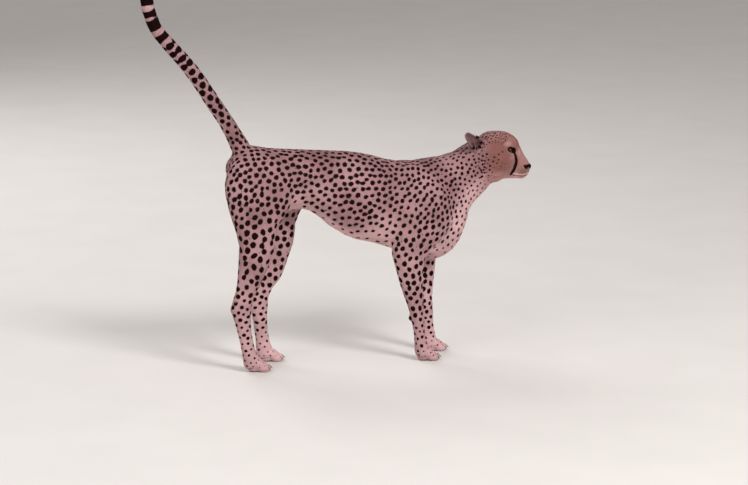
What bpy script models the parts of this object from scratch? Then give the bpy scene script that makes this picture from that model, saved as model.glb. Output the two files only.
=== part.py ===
"""A life-size cheetah that stands still with its tail raised, as a set of solids.

The frame is metres, +X towards the head, +Y to the animal's left and +Z up from the floor.
The body is drawn as rings. A ring runs round two points of the side outline, one on each edge,
and is as wide as the body is there. Rings lofted in a row make the torso, the head, a leg or
the tail, round masses add muscle, pads and toes, and a remesh joins them as one skin. That skin
is then parted with thin cuts into the named pieces, and the middle of its box goes to the origin.
"""

import math

import bmesh
import bpy
from mathutils import Matrix, Vector

# Sizes of the animal.
GAP = 0.0004  # width of the cuts between pieces
RING_SIDES = 28
RINGS_PER_SPAN = 5
BODY_VOXEL = 0.006
HEAD_VOXEL = 0.0030
SKIN_VOXEL = 0.0033
SKIN_TRIANGLES = 5300
FINE_SHARE = 0.9  # how freely the mesh of the head and the paws is thinned, against the rest

HEAD_PIVOT = Vector((0.500, 0.0, 0.760))
NAPE = Vector((0.525, 0.0, 0.755))  # the middle of the joint of head and neck
HEAD_YAW = math.radians(-9)  # the head turns a little to the animal's right
EYE_CENTRE = Vector((0.6590, 0.0385, 0.8010))
EYE_RADIUS = 0.0155
EYE_SIDES, EYE_RINGS = 14, 8
EYE_OUTWARD = math.radians(38)  # how far each eye looks away from straight ahead
EYE_SLANT = math.radians(24)  # the inner corner of the eye is lower
APERTURE = (0.0126, 0.0130, 0.0104)  # radii of the opening of the lids: along, across, up

# Rings: (x, z) on the upper or front edge, (x, z) on the lower or rear edge, half width, and how
# much wider the ring is near its first edge than near its second.
TORSO = [
    ((-0.412, 0.835), (-0.438, 0.735), 0.030, 0.0),
    ((-0.388, 0.850), (-0.430, 0.640), 0.062, 0.1),
    ((-0.345, 0.856), (-0.370, 0.590), 0.084, 0.1),
    ((-0.280, 0.843), (-0.290, 0.585), 0.093, 0.1),
    ((-0.200, 0.835), (-0.205, 0.600), 0.090, 0.0),
    ((-0.120, 0.829), (-0.125, 0.598), 0.087, -0.05),
    ((-0.040, 0.823), (-0.035, 0.527), 0.095, -0.10),
    ((0.040, 0.816), (0.045, 0.480), 0.104, -0.10),
    ((0.120, 0.799), (0.120, 0.460), 0.109, -0.10),
    ((0.200, 0.776), (0.190, 0.436), 0.108, -0.05),
    ((0.270, 0.768), (0.280, 0.402), 0.101, 0.0),
    ((0.330, 0.776), (0.372, 0.380), 0.094, 0.0),
    ((0.385, 0.781), (0.450, 0.420), 0.086, 0.0),
    ((0.430, 0.790), (0.491, 0.500), 0.077, -0.05),
    ((0.465, 0.805), (0.512, 0.574), 0.070, -0.05),
    ((0.500, 0.826), (0.562, 0.626), 0.066, 0.0),
    ((0.540, 0.843), (0.600, 0.672), 0.061, 0.0),
    ((0.575, 0.850), (0.625, 0.695), 0.054, 0.0),
]
HEAD = [
    ((0.7490, 0.7330), (0.7440, 0.7090), 0.012, 0.0),
    ((0.7460, 0.7420), (0.7380, 0.7000), 0.021, 0.0),
    ((0.7390, 0.7560), (0.7280, 0.6910), 0.028, -0.10),
    ((0.7280, 0.7720), (0.7120, 0.6860), 0.033, -0.15),
    ((0.7180, 0.7910), (0.6930, 0.6850), 0.038, -0.12),
    ((0.7080, 0.8120), (0.6730, 0.6850), 0.046, -0.05),
    ((0.6950, 0.8350), (0.6530, 0.6850), 0.056, 0.0),
    ((0.6780, 0.8540), (0.6350, 0.6830), 0.063, 0.0),
    ((0.6550, 0.8670), (0.6180, 0.6770), 0.067, 0.0),
    ((0.6250, 0.8710), (0.5990, 0.6680), 0.068, 0.0),
    ((0.5950, 0.8710), (0.5780, 0.6600), 0.065, 0.0),
    ((0.5650, 0.8620), (0.5550, 0.6600), 0.058, 0.0),
    ((0.5350, 0.8350), (0.5300, 0.6900), 0.042, 0.0),
]
# Leg rings: (x, z) in front, (x, z) behind, half width, distance from the midline.
FORELEG = [
    ((0.320, 0.760), (0.225, 0.745), 0.016, 0.046),
    ((0.385, 0.700), (0.205, 0.670), 0.034, 0.066),
    ((0.428, 0.630), (0.203, 0.580), 0.044, 0.076),
    ((0.430, 0.550), (0.195, 0.505), 0.047, 0.082),
    ((0.378, 0.475), (0.182, 0.448), 0.046, 0.084),
    ((0.326, 0.425), (0.186, 0.412), 0.040, 0.084),
    ((0.311, 0.385), (0.195, 0.380), 0.036, 0.083),
    ((0.306, 0.336), (0.207, 0.335), 0.032, 0.081),
    ((0.308, 0.290), (0.221, 0.290), 0.029, 0.079),
    ((0.311, 0.240), (0.239, 0.240), 0.026, 0.077),
    ((0.313, 0.200), (0.254, 0.200), 0.027, 0.075),
    ((0.315, 0.165), (0.262, 0.165), 0.026, 0.073),
    ((0.318, 0.120), (0.273, 0.120), 0.023, 0.071),
    ((0.324, 0.080), (0.277, 0.080), 0.024, 0.070),
    ((0.333, 0.050), (0.279, 0.042), 0.029, 0.070),
    ((0.338, 0.022), (0.284, 0.012), 0.029, 0.070),
]
HINDLEG = [
    ((-0.270, 0.815), (-0.392, 0.825), 0.030, 0.048),
    ((-0.215, 0.745), (-0.446, 0.772), 0.048, 0.062),
    ((-0.196, 0.670), (-0.462, 0.712), 0.054, 0.070),
    ((-0.212, 0.622), (-0.455, 0.655), 0.052, 0.076),
    ((-0.248, 0.575), (-0.442, 0.600), 0.048, 0.080),
    ((-0.267, 0.532), (-0.425, 0.548), 0.043, 0.083),
    ((-0.271, 0.490), (-0.414, 0.500), 0.039, 0.087),
    ((-0.281, 0.450), (-0.412, 0.455), 0.036, 0.086),
    ((-0.300, 0.405), (-0.415, 0.410), 0.032, 0.084),
    ((-0.318, 0.360), (-0.418, 0.362), 0.029, 0.082),
    ((-0.335, 0.322), (-0.424, 0.322), 0.025, 0.080),
    ((-0.352, 0.290), (-0.434, 0.283), 0.022, 0.078),
    ((-0.361, 0.255), (-0.446, 0.245), 0.024, 0.076),
    ((-0.364, 0.215), (-0.434, 0.210), 0.023, 0.075),
    ((-0.364, 0.170), (-0.422, 0.165), 0.021, 0.074),
    ((-0.358, 0.125), (-0.411, 0.120), 0.021, 0.073),
    ((-0.347, 0.080), (-0.402, 0.075), 0.023, 0.072),
    ((-0.335, 0.050), (-0.397, 0.040), 0.028, 0.072),
    ((-0.331, 0.022), (-0.392, 0.012), 0.028, 0.072),
]
# How far the left leg stands ahead of the right one: (height, distance), downwards.
FORE_STRIDE = [(0.66, 0.0), (0.42, 0.100), (0.36, 0.098), (0.20, 0.077), (0.0, 0.070)]
HIND_STRIDE = [(0.84, 0.0), (0.55, 0.115), (0.33, 0.122), (0.25, 0.100), (0.0, 0.082)]
# Tail: x, sideways, z, half thickness.
TAIL = [
    (-0.350, 0.000, 0.790, 0.040),
    (-0.381, 0.000, 0.845, 0.037),
    (-0.408, 0.000, 0.898, 0.032),
    (-0.441, 0.001, 0.956, 0.0295),
    (-0.492, 0.002, 1.034, 0.0290),
    (-0.540, 0.003, 1.111, 0.0285),
    (-0.596, 0.004, 1.186, 0.0275),
    (-0.652, 0.004, 1.250, 0.0262),
    (-0.697, 0.003, 1.308, 0.0250),
    (-0.722, 0.002, 1.372, 0.0250),
    (-0.733, 0.000, 1.435, 0.0262),
    (-0.737, -0.002, 1.485, 0.0262),
    (-0.738, -0.003, 1.515, 0.0200),
    (-0.738, -0.003, 1.530, 0.0100),
]
# Round masses on one side, mirrored to the other: centre, radii, pitch in degrees (nose down).
HEAD_MASSES = [
    ((0.630, 0.040, 0.768), (0.052, 0.032, 0.040), 15),  # cheekbone
    ((0.600, 0.030, 0.722), (0.052, 0.036, 0.046), 20),  # jaw muscle
    ((0.680, 0.024, 0.742), (0.042, 0.024, 0.036), 10),  # side of the upper jaw
    ((0.668, 0.026, 0.832), (0.036, 0.026, 0.024), 25),  # brow
    ((0.718, 0.0185, 0.7120), (0.0260, 0.0175, 0.0190), 0),  # whisker pad
    ((0.712, 0.008, 0.6940), (0.020, 0.014, 0.0105), 0),  # chin
]
HEAD_HOLLOWS = [
    ((0.708, 0.070, 0.800), (0.044, 0.032, 0.026), 0),  # the face ahead of the eye
    ((0.712, 0.052, 0.742), (0.030, 0.016, 0.026), 30),  # between the whisker pad and the cheek
]
LIDS = ((0.6595, 0.0390, 0.8010), (0.0205, 0.0198, 0.0195), 0)
NOSE = ((0.7435, 0.0, 0.7310), (0.0100, 0.0155, 0.0110))
TORSO_MASSES = [
    ((0.355, 0.058, 0.560), (0.075, 0.050, 0.110), 0),  # point of the shoulder
    ((0.255, 0.040, 0.715), (0.070, 0.040, 0.052), 0),  # top of the shoulder blade
    ((0.315, 0.048, 0.480), (0.090, 0.048, 0.072), 0),  # breast
    ((-0.330, 0.052, 0.760), (0.090, 0.045, 0.075), 0),  # haunch
    ((-0.090, 0.032, 0.772), (0.200, 0.048, 0.042), 0),  # loin
]
# Paws: half width of the spread toes, and each toe's place ahead and its turn outwards.
TOES = [(-1.0, -0.004, 14), (-0.36, 0.008, 4), (0.36, 0.008, -4), (1.0, -0.004, -14)]
TOE_SPREAD = 0.0240
TOE_RADII = (0.0215, 0.0118, 0.0150)
KNUCKLE_RADII = (0.0220, 0.0115, 0.0150)
PAW_FORE = (0.330, 0.070)  # x and distance from the midline of the middle of the toes' roots
PAW_HIND = (-0.337, 0.072)
CARPAL_PAD = ((0.264, 0.073, 0.170), (0.0130, 0.0110, 0.0150))
DEWCLAW = ((0.306, 0.0490, 0.080), (0.0130, 0.0080, 0.0100))
CLAW_LENGTH, CLAW_RADIUS, CLAW_SIDES = 0.016, 0.0032, 6
CLAW_DROOP = math.radians(24)

# Cuts. A plane is a point, and the way it faces towards the piece.
HEAD_PLANE = ((0.517, 0.0, 0.831), (0.894, 0.0, 0.447))
NECK_PLANE = ((0.400, 0.0, 0.785), (0.976, 0.0, 0.218))
TAIL_PLANES = {
    "tail_tip": ((-0.724, 0.0, 1.380), (-0.15, 0.0, 0.99)),
    "tail_middle": ((-0.560, 0.0, 1.135), (-0.57, 0.0, 0.82)),
    "tail_base": ((-0.394, 0.0, 0.874), (-0.475, 0.0, 0.88)),
}
EAR_BASE = 0.012  # height of an ear's cut above its base
# Leg pieces, from the ground up: side outline on the right side, and distance of the inner face
# from the midline. Each takes what the ones before it left.
FORELEG_PIECES = {
    "forepaw": ([(0.20, -0.05), (0.40, -0.05), (0.40, 0.150), (0.20, 0.150)], 0.004),
    "forearm": ([(0.12, -0.05), (0.45, -0.05), (0.45, 0.355), (0.12, 0.355)], 0.004),
    "shoulder": (
        [(0.150, 0.300), (0.420, 0.300), (0.420, 0.420), (0.433, 0.560), (0.425, 0.640)]
        + [(0.365, 0.715), (0.290, 0.748), (0.232, 0.735), (0.208, 0.640), (0.178, 0.470)],
        0.040,
    ),
}
HINDLEG_PIECES = {
    "hindpaw": ([(-0.50, -0.05), (-0.25, -0.05), (-0.25, 0.150), (-0.50, 0.150)], 0.004),
    "metatarsus": ([(-0.50, 0.10), (-0.25, 0.10), (-0.25, 0.262), (-0.50, 0.292)], 0.004),
    "shank": ([(-0.52, 0.20), (-0.22, 0.20), (-0.22, 0.500), (-0.52, 0.520)], 0.004),
    "thigh": (
        [(-0.520, 0.400), (-0.220, 0.400), (-0.243, 0.570), (-0.196, 0.625), (-0.190, 0.690)]
        + [(-0.222, 0.755), (-0.290, 0.795), (-0.375, 0.800), (-0.425, 0.772), (-0.520, 0.740)],
        0.026,
    ),
}


def clear_scene():
    for obj in list(bpy.data.objects):
        bpy.data.objects.remove(obj)


def new_object(name, bm, collection):
    mesh = bpy.data.meshes.new(name)
    bm.to_mesh(mesh)
    bm.free()
    obj = bpy.data.objects.new(name, mesh)
    collection.objects.link(obj)
    return obj


def blend(a, b, c, d, t):
    """Catmull-Rom between b and c."""
    return 0.5 * (2 * b + (c - a) * t + (2 * a - 5 * b + 4 * c - d) * t * t + (3 * b - a - 3 * c + d) * t**3)


def smooth_rows(rows, steps):
    """The rows of numbers, with steps rows for each span, on a curve through them all."""
    last = len(rows) - 1
    dense = []
    for i in range(last):
        four = [rows[max(0, min(last, i + k))] for k in (-1, 0, 1, 2)]
        dense += [[blend(*values, s / steps) for values in zip(*four)] for s in range(steps)]
    return dense + [list(rows[last])]


def add_loft(bm, rows, roundness=2.3):
    """A closed tube. Each row is x, y, z of a ring's first and last edge, half width and egg."""
    power = 2 / roundness
    rings = []
    for ax, ay, az, bx, by, bz, half, egg in smooth_rows(rows, RINGS_PER_SPAN):
        first, last = Vector((ax, ay, az)), Vector((bx, by, bz))
        middle, reach = (first + last) / 2, (first - last) / 2
        ring = []
        for k in range(RING_SIDES):
            angle = 2 * math.pi * k / RING_SIDES
            c, s = math.cos(angle), math.sin(angle)
            up = math.copysign(abs(c) ** power, c)
            side = math.copysign(abs(s) ** power, s) * half * (1 + egg * up)
            ring.append(bm.verts.new(middle + reach * up + Vector((0, side, 0))))
        rings.append(ring)
    for a, b in zip(rings, rings[1:]):
        for k in range(RING_SIDES):
            bm.faces.new((a[k - 1], a[k], b[k], b[k - 1]))
    bm.faces.new(list(reversed(rings[0])))
    bm.faces.new(rings[-1])


def add_mass(bm, centre, radii, pitch=0.0, yaw=0.0):
    """A round mass: an ellipsoid, pitched nose down and yawed to its left, in degrees."""
    turn = Matrix.Rotation(math.radians(yaw), 4, "Z") @ Matrix.Rotation(math.radians(pitch), 4, "Y")
    place = Matrix.Translation(centre) @ turn @ Matrix.Diagonal((*radii, 1.0))
    bmesh.ops.create_uvsphere(bm, u_segments=20, v_segments=12, radius=1.0, matrix=place)


def add_masses(bm, masses):
    for (x, y, z), radii, pitch in masses:
        for side in (1, -1):
            add_mass(bm, (x, side * y, z), radii, pitch)


def modified(obj, kind, **settings):
    """obj with one modifier of this kind applied to its mesh."""
    modifier = obj.modifiers.new(kind, kind)
    for key, value in settings.items():
        setattr(modifier, key, value)
    graph = bpy.context.evaluated_depsgraph_get()
    mesh = bpy.data.meshes.new_from_object(obj.evaluated_get(graph))
    obj.modifiers.clear()
    obj.data = mesh
    return obj


def cut(obj, cutter, operation="DIFFERENCE", keep=False):
    """obj after a Boolean with the cutter, which is removed unless it is kept."""
    modified(obj, "BOOLEAN", operation=operation, object=cutter, solver="EXACT", use_self=False)
    if not keep:
        bpy.data.objects.remove(cutter)
    return obj


def soften(obj, iterations, weight):
    """obj smoothed where weight(point) is over 0, fully where it is 1 or more."""
    group = obj.vertex_groups.new(name="soft")
    for v in obj.data.vertices:
        group.add([v.index], min(1.0, max(0.0, weight(v.co))), "REPLACE")
    modified(obj, "SMOOTH", factor=0.5, iterations=iterations, vertex_group="soft")
    obj.vertex_groups.clear()
    return obj


def remeshed(obj, voxel, smoothing, softer_above=None):
    """obj as one skin, smoothed. Above a height, if given, it is smoothed four times as much."""
    modified(obj, "REMESH", mode="VOXEL", voxel_size=voxel)
    if softer_above is not None:
        soften(obj, 3 * smoothing, lambda co: (co.z - softer_above) / 0.15)
    return modified(obj, "SMOOTH", factor=0.5, iterations=smoothing)


def stride(table, height):
    """How far ahead the left leg is at this height."""
    for (high, ahead), (low, next_ahead) in zip(table, table[1:]):
        if height >= low:
            share = min(1.0, max(0.0, (high - height) / (high - low)))
            return ahead + (next_ahead - ahead) * share * share * (3 - 2 * share)
    return table[-1][1]


def leg_rows(rings, side, table):
    rows = []
    for (fx, fz), (bx, bz), half, out in rings:
        y = side * out
        ahead = (stride(table, fz), stride(table, bz)) if side > 0 else (0.0, 0.0)
        rows.append((fx + ahead[0], y, fz, bx + ahead[1], y, bz, half, 0.0))
    return rows


def add_paw(bm, x, y):
    """Four toes with their knuckles, and the pad and the top of the foot behind them."""
    add_mass(bm, (x - 0.012, y, 0.026), (0.036, 0.0275, 0.025), 14)
    add_mass(bm, (x - 0.014, y, 0.010), (0.027, 0.0235, 0.013))
    for across, ahead, turn in TOES:
        toe = Vector((x + 0.018 + ahead, y + across * TOE_SPREAD, 0.0125))
        add_mass(bm, toe, TOE_RADII, 10, -turn)
        add_mass(bm, toe + Vector((-0.016, -across * 0.003, 0.014)), KNUCKLE_RADII, 25, -turn)


def add_wrists(bm):
    """The pad behind each wrist and the dewclaw's toe inside it."""
    for side in (1, -1):
        for (x, y, z), radii in (CARPAL_PAD, DEWCLAW):
            ahead = stride(FORE_STRIDE, z) if side > 0 else 0.0
            add_mass(bm, (x + ahead, side * y, z), radii)


def paw_places():
    """(name, x, y) of each paw."""
    for side, word in ((1, "left"), (-1, "right")):
        for name, (x, out), table in (("fore", PAW_FORE, FORE_STRIDE), ("hind", PAW_HIND, HIND_STRIDE)):
            ahead = stride(table, 0.02) if side > 0 else 0.0
            yield f"{name}paw_{word}", x + ahead, side * out


def make_body(collection):
    """Torso, neck, legs and tail as one smooth form."""
    bm = bmesh.new()
    bend = [0.0] * (len(TORSO) - 4) + [-0.001, -0.003, -0.009, -0.016]  # after the turned head
    rows = [
        (tx, y, tz, bx, y, bz, half, egg) for ((tx, tz), (bx, bz), half, egg), y in zip(TORSO, bend)
    ]
    add_loft(bm, rows)
    add_masses(bm, TORSO_MASSES)
    for side in (1, -1):
        add_loft(bm, leg_rows(FORELEG, side, FORE_STRIDE))
        add_loft(bm, leg_rows(HINDLEG, side, HIND_STRIDE))
    return remeshed(new_object("body", bm, collection), BODY_VOXEL, 8, softer_above=0.42)


def make_tail(collection):
    bm = bmesh.new()
    rows = []
    for i, (x, y, z, half) in enumerate(TAIL):
        before, after = TAIL[max(i - 1, 0)], TAIL[min(i + 1, len(TAIL) - 1)]
        along = Vector((after[0] - before[0], 0, after[2] - before[2])).normalized()
        ahead = Vector((along.z, 0, -along.x)) * half
        rows.append((x + ahead.x, y, z + ahead.z, x - ahead.x, y, z - ahead.z, half * 0.92, 0.0))
    add_loft(bm, rows, roundness=2.0)
    return new_object("tail", bm, collection)


def make_head(collection):
    bm = bmesh.new()
    add_loft(bm, [(tx, 0, tz, bx, 0, bz, half, egg) for (tx, tz), (bx, bz), half, egg in HEAD])
    add_masses(bm, HEAD_MASSES)
    head = remeshed(new_object("head", bm, collection), HEAD_VOXEL, 1)
    hollows = bmesh.new()
    add_masses(hollows, HEAD_HOLLOWS)
    cut(head, new_object("hollows", hollows, collection))
    modified(head, "REMESH", mode="VOXEL", voxel_size=HEAD_VOXEL)
    soften(head, 22, lambda co: (0.735 - co.x) / 0.03)
    bm = bmesh.new()
    bm.from_mesh(head.data)
    bpy.data.objects.remove(head)
    add_masses(bm, [LIDS])
    add_mass(bm, *NOSE, 20)
    return remeshed(new_object("head", bm, collection), HEAD_VOXEL, 6)


def make_ear(collection, name, base, tip, facing):
    """A cupped ear from base to tip, hollowed towards facing."""
    base, tip = Vector(base), Vector(tip)
    up = (tip - base).normalized()
    out = (Vector(facing) - up * up.dot(Vector(facing))).normalized()
    length = (tip - base).length
    place = Matrix.Translation(base) @ Matrix((out.cross(up), out, up)).transposed().to_4x4()

    def shape(thinner, lift, towards):
        bm = bmesh.new()
        rows = [
            (wide - thinner, towards, share * length + lift, thinner - wide, towards,
             share * length + lift, thick - thinner * 0.5, 0.0)
            for share, wide, thick in EAR_SHAPE
        ]  # fmt: skip
        add_loft(bm, rows, roundness=2.0)
        bmesh.ops.transform(bm, matrix=place, verts=bm.verts)
        bmesh.ops.recalc_face_normals(bm, faces=bm.faces)
        return new_object(name, bm, collection)

    return cut(shape(0.0, 0.0, 0.0), shape(0.0042, 0.012, 0.0120))


def head_turn():
    return Matrix.Translation(HEAD_PIVOT) @ Matrix.Rotation(HEAD_YAW, 4, "Z") @ Matrix.Translation(-HEAD_PIVOT)


def joined(objects, name, collection):
    bm = bmesh.new()
    for obj in objects:
        obj.data.transform(obj.matrix_world)
        bm.from_mesh(obj.data)
        bpy.data.objects.remove(obj)
    return new_object(name, bm, collection)


# Ear: share of its length, half width, half thickness.
EAR_SHAPE = [
    (-0.15, 0.0290, 0.0200),
    (0.15, 0.0280, 0.0180),
    (0.45, 0.0250, 0.0150),
    (0.70, 0.0195, 0.0120),
    (0.90, 0.0125, 0.0085),
    (1.00, 0.0060, 0.0050),
]
EARS = {  # base, tip, and the way the hollow faces
    "ear_right": ((0.544, -0.053, 0.816), (0.476, -0.078, 0.878), (0.30, -1.0, -0.15)),
    "ear_left": ((0.578, 0.048, 0.805), (0.560, 0.116, 0.822), (0.80, 0.20, -0.35)),
}


def make_whole(collection):
    body = make_body(collection)
    tail = make_tail(collection)
    head = make_head(collection)
    ears = [make_ear(collection, name, *ear) for name, ear in EARS.items()]
    head.data.transform(head_turn())
    paws = bmesh.new()
    for _, x, y in paw_places():
        add_paw(paws, x, y)
    add_wrists(paws)
    paws = new_object("paws", paws, collection)
    whole = joined([body, tail, head, *ears, paws], "whole", collection)
    modified(whole, "REMESH", mode="VOXEL", voxel_size=SKIN_VOXEL)
    soften(whole, 24, lambda co: 1 - max(0.0, (co - NAPE).length - 0.05) / 0.05)
    modified(whole, "SMOOTH", factor=0.5, iterations=2)
    count = sum(len(p.vertices) - 2 for p in whole.data.polygons)
    group = whole.vertex_groups.new(name="fine")
    for v in whole.data.vertices:
        fine = v.co.z < 0.07 or (v.co.x > 0.53 and v.co.z > 0.67)
        group.add([v.index], FINE_SHARE if fine else 1.0, "REPLACE")
    return modified(
        whole, "DECIMATE", ratio=SKIN_TRIANGLES / count, use_collapse_triangulate=True,
        vertex_group="fine", vertex_group_factor=0.25,
    )  # fmt: skip


def extruded(points, depth, to_world, collection):
    """A prism with this outline, from 0 to depth along its own third axis."""
    bm = bmesh.new()
    low = [bm.verts.new((*p, 0.0)) for p in points]
    high = [bm.verts.new((*p, depth)) for p in points]
    bm.faces.new(low)
    bm.faces.new(high)
    for k in range(len(points)):
        bm.faces.new((low[k - 1], low[k], high[k], high[k - 1]))
    bmesh.ops.transform(bm, matrix=to_world, verts=bm.verts)
    bmesh.ops.recalc_face_normals(bm, faces=bm.faces)
    return new_object("cutter", bm, collection)


def widened(points, grow):
    """A closed outline moved outwards by grow."""
    area = sum(a[0] * b[1] - b[0] * a[1] for a, b in zip(points, points[1:] + points[:1]))
    sign = math.copysign(1.0, area)
    moved = []
    for i, (x, z) in enumerate(points):
        normals = []
        for (ax, az), (bx, bz) in ((points[i - 1], (x, z)), ((x, z), points[(i + 1) % len(points)])):
            length = math.hypot(bx - ax, bz - az)
            normals.append((sign * (bz - az) / length, -sign * (bx - ax) / length))
        (nx, nz), (mx, mz) = normals
        scale = grow / (1 + nx * mx + nz * mz)
        moved.append((x + scale * (nx + mx), z + scale * (nz + mz)))
    return moved


def side_prism(points, inner, side, collection, grow):
    """The space within a side outline, outwards from a distance inner on one side."""
    start = inner - grow
    axes = Matrix(((1, 0, 0), (0, 0, side), (0, 1, 0))).to_4x4()
    place = Matrix.Translation((0, side * start, 0)) @ axes
    return extruded(widened(points, grow), 0.4, place, collection)


def beyond(plane, collection, grow, reach=2.0, across=None):
    """The space beyond a plane, in a block this far across."""
    point, way = Vector(plane[0]), Vector(plane[1]).normalized()
    half = across or 2.0
    square = [(-half, -half), (half, -half), (half, half), (-half, half)]
    place = Matrix.Translation(point - way * grow) @ way.to_track_quat("Z", "Y").to_matrix().to_4x4()
    return extruded(widened(square, grow), reach, place, collection)


def largest_part(obj):
    """obj without any loose scrap that a cut left."""
    bm = bmesh.new()
    bm.from_mesh(obj.data)
    left, parts = set(bm.verts), []
    while left:
        found, queue = set(), [left.pop()]
        while queue:
            vert = queue.pop()
            found.add(vert)
            for edge in vert.link_edges:
                other = edge.other_vert(vert)
                if other in left:
                    left.discard(other)
                    queue.append(other)
        parts.append(found)
    parts.sort(key=len)
    for part in parts[:-1]:
        bmesh.ops.delete(bm, geom=list(part), context="VERTS")
    bm.to_mesh(obj.data)
    bm.free()
    return obj


def copy_of(obj, name, collection):
    copy = bpy.data.objects.new(name, obj.data.copy())
    collection.objects.link(copy)
    return copy


def take(whole, name, cutter, collection):
    """Parts the piece within cutter(grow) from the whole, leaving a thin gap."""
    piece = cut(copy_of(whole, name, collection), cutter(0.0), "INTERSECT")
    cut(whole, cutter(GAP))
    largest_part(whole)
    return largest_part(piece)


def stepped(points, table, side):
    """A side outline as it is on this side, where the left leg stands ahead."""
    return [(x + (stride(table, z) if side > 0 else 0.0), z) for x, z in points]


def make_eye(name, side, collection, scale=1.0):
    bm = bmesh.new()
    x, y, z = EYE_CENTRE
    look = head_turn() @ Matrix.Translation((x, side * y, z)) @ Matrix.Rotation(side * EYE_OUTWARD, 4, "Z")
    poles = Matrix.Rotation(math.pi / 2, 4, "Y") @ Matrix.Scale(scale, 4)
    bmesh.ops.create_uvsphere(
        bm, u_segments=EYE_SIDES, v_segments=EYE_RINGS, radius=EYE_RADIUS, matrix=look @ poles
    )
    return new_object(name, bm, collection)


def open_lids(head, side, collection):
    """Cuts the socket of the eye and the almond-shaped opening of the lids."""
    cut(head, make_eye("socket", side, collection, scale=1.03))
    x, y, z = EYE_CENTRE
    bm = bmesh.new()
    place = (
        head_turn()
        @ Matrix.Translation((x, side * y, z))
        @ Matrix.Rotation(side * EYE_OUTWARD, 4, "Z")
        @ Matrix.Translation((EYE_RADIUS + 0.001, 0, 0))
        @ Matrix.Rotation(side * EYE_SLANT, 4, "X")
    )
    along, deep, up = APERTURE
    shape = Matrix.Diagonal((deep, along, up, 1.0)) @ Matrix.Rotation(math.pi / 2, 4, "Y")
    bmesh.ops.create_uvsphere(bm, u_segments=14, v_segments=8, radius=1.0, matrix=place @ shape)
    return cut(head, new_object("aperture", bm, collection))


def add_claws(piece, x, y, collection):
    for across, ahead, turn in TOES:
        bm = bmesh.new()
        root = Vector((x + 0.018 + ahead + TOE_RADII[0] * 0.92, y + across * (TOE_SPREAD + 0.001), 0.0150))
        place = (
            Matrix.Translation(root)
            @ Matrix.Rotation(math.radians(-turn), 4, "Z")
            @ Matrix.Rotation(CLAW_DROOP, 4, "Y")
            @ Matrix.Rotation(math.pi / 2, 4, "Y")
        )
        bmesh.ops.create_cone(
            bm, cap_ends=True, cap_tris=True, segments=CLAW_SIDES, radius1=CLAW_RADIUS,
            radius2=CLAW_RADIUS * 0.16, depth=CLAW_LENGTH, matrix=place,
        )
        cut(piece, new_object("claw", bm, collection), "UNION")
    return piece


def part_pieces(whole, collection):
    """Every piece but the trunk, which is what stays of the whole."""
    pieces = []

    def piece(name, cutter):
        pieces.append(take(whole, name, cutter, collection))
        return pieces[-1]

    for name, (base, tip, _) in EARS.items():
        up = (Vector(tip) - Vector(base)).normalized()
        plane = (Vector(base) + up * EAR_BASE, up)
        piece(name, lambda grow, plane=plane: beyond(plane, collection, grow, reach=0.12, across=0.030))
    head = piece("head", lambda grow: beyond(HEAD_PLANE, collection, grow))
    for side, word in ((1, "left"), (-1, "right")):
        open_lids(head, side, collection)
        pieces.append(make_eye(f"eye_{word}", side, collection))
    piece("neck", lambda grow: beyond(NECK_PLANE, collection, grow))
    for name, plane in TAIL_PLANES.items():
        piece(name, lambda grow, plane=plane: beyond(plane, collection, grow))
    paws = {name: (x, y) for name, x, y in paw_places()}
    for side, word in ((1, "left"), (-1, "right")):
        for table, legs in ((FORE_STRIDE, FORELEG_PIECES), (HIND_STRIDE, HINDLEG_PIECES)):
            for name, (points, inner) in legs.items():
                outline = stepped(points, table, side)
                made = piece(
                    f"{name}_{word}",
                    lambda grow, outline=outline, inner=inner: side_prism(
                        outline, inner, side, collection, grow
                    ),
                )
                if made.name in paws:
                    add_claws(made, *paws[made.name], collection)
    return pieces


def centre(objects):
    """Moves everything so that the middle of the underside of its box is at the origin."""
    points = [v.co for obj in objects for v in obj.data.vertices]
    low = [min(p[i] for p in points) for i in range(3)]
    high = [max(p[i] for p in points) for i in range(3)]
    shift = Matrix.Translation((-(low[0] + high[0]) / 2, -(low[1] + high[1]) / 2, -low[2]))
    for obj in objects:
        obj.data.transform(shift)


def paint(obj, name, colour, roughness):
    material = bpy.data.materials.get(name) or bpy.data.materials.new(name)
    material.use_nodes = True
    shader = material.node_tree.nodes["Principled BSDF"]
    shader.inputs["Base Color"].default_value = (*colour, 1.0)
    shader.inputs["Roughness"].default_value = roughness
    obj.data.materials.clear()
    obj.data.materials.append(material)


def main():
    clear_scene()
    model = bpy.data.collections.new("cheetah")
    bpy.context.scene.collection.children.link(model)
    whole = make_whole(model)
    cut(whole, beyond(((0, 0, 0), (0, 0, 1)), model, 0.0), "INTERSECT")
    largest_part(whole)
    pieces = part_pieces(whole, model)
    whole.name = "trunk"
    pieces.append(whole)
    centre(pieces)
    for obj in pieces:
        if obj.name.startswith("eye"):
            paint(obj, "eye", (0.10, 0.045, 0.015), 0.15)
        else:
            paint(obj, "coat", (0.62, 0.44, 0.36), 0.85)


main()
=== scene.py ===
"""The looks of the standing cheetah: one skin over all its flesh, a coat of mesh tufts, eyes and claws.

Points are worked out in the animal's own frame, in metres: +X towards the head, +Y to its left and
+Z up, with the floor point under the middle of the body at the origin. SHIFT moves them into the
frame of the solids. Markings are signed distances in millimetres, over 0 inside the black, so that
skin and tufts read the same ones. Most tables hold the right side only. `folded` brings a point of
the left side, whose legs stand further ahead, to its place on the right side.
"""

import math
from itertools import product

import bmesh
import bpy
import numpy as np
from mathutils import Matrix, Vector
from mathutils.bvhtree import BVHTree
from mathutils.kdtree import KDTree


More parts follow.
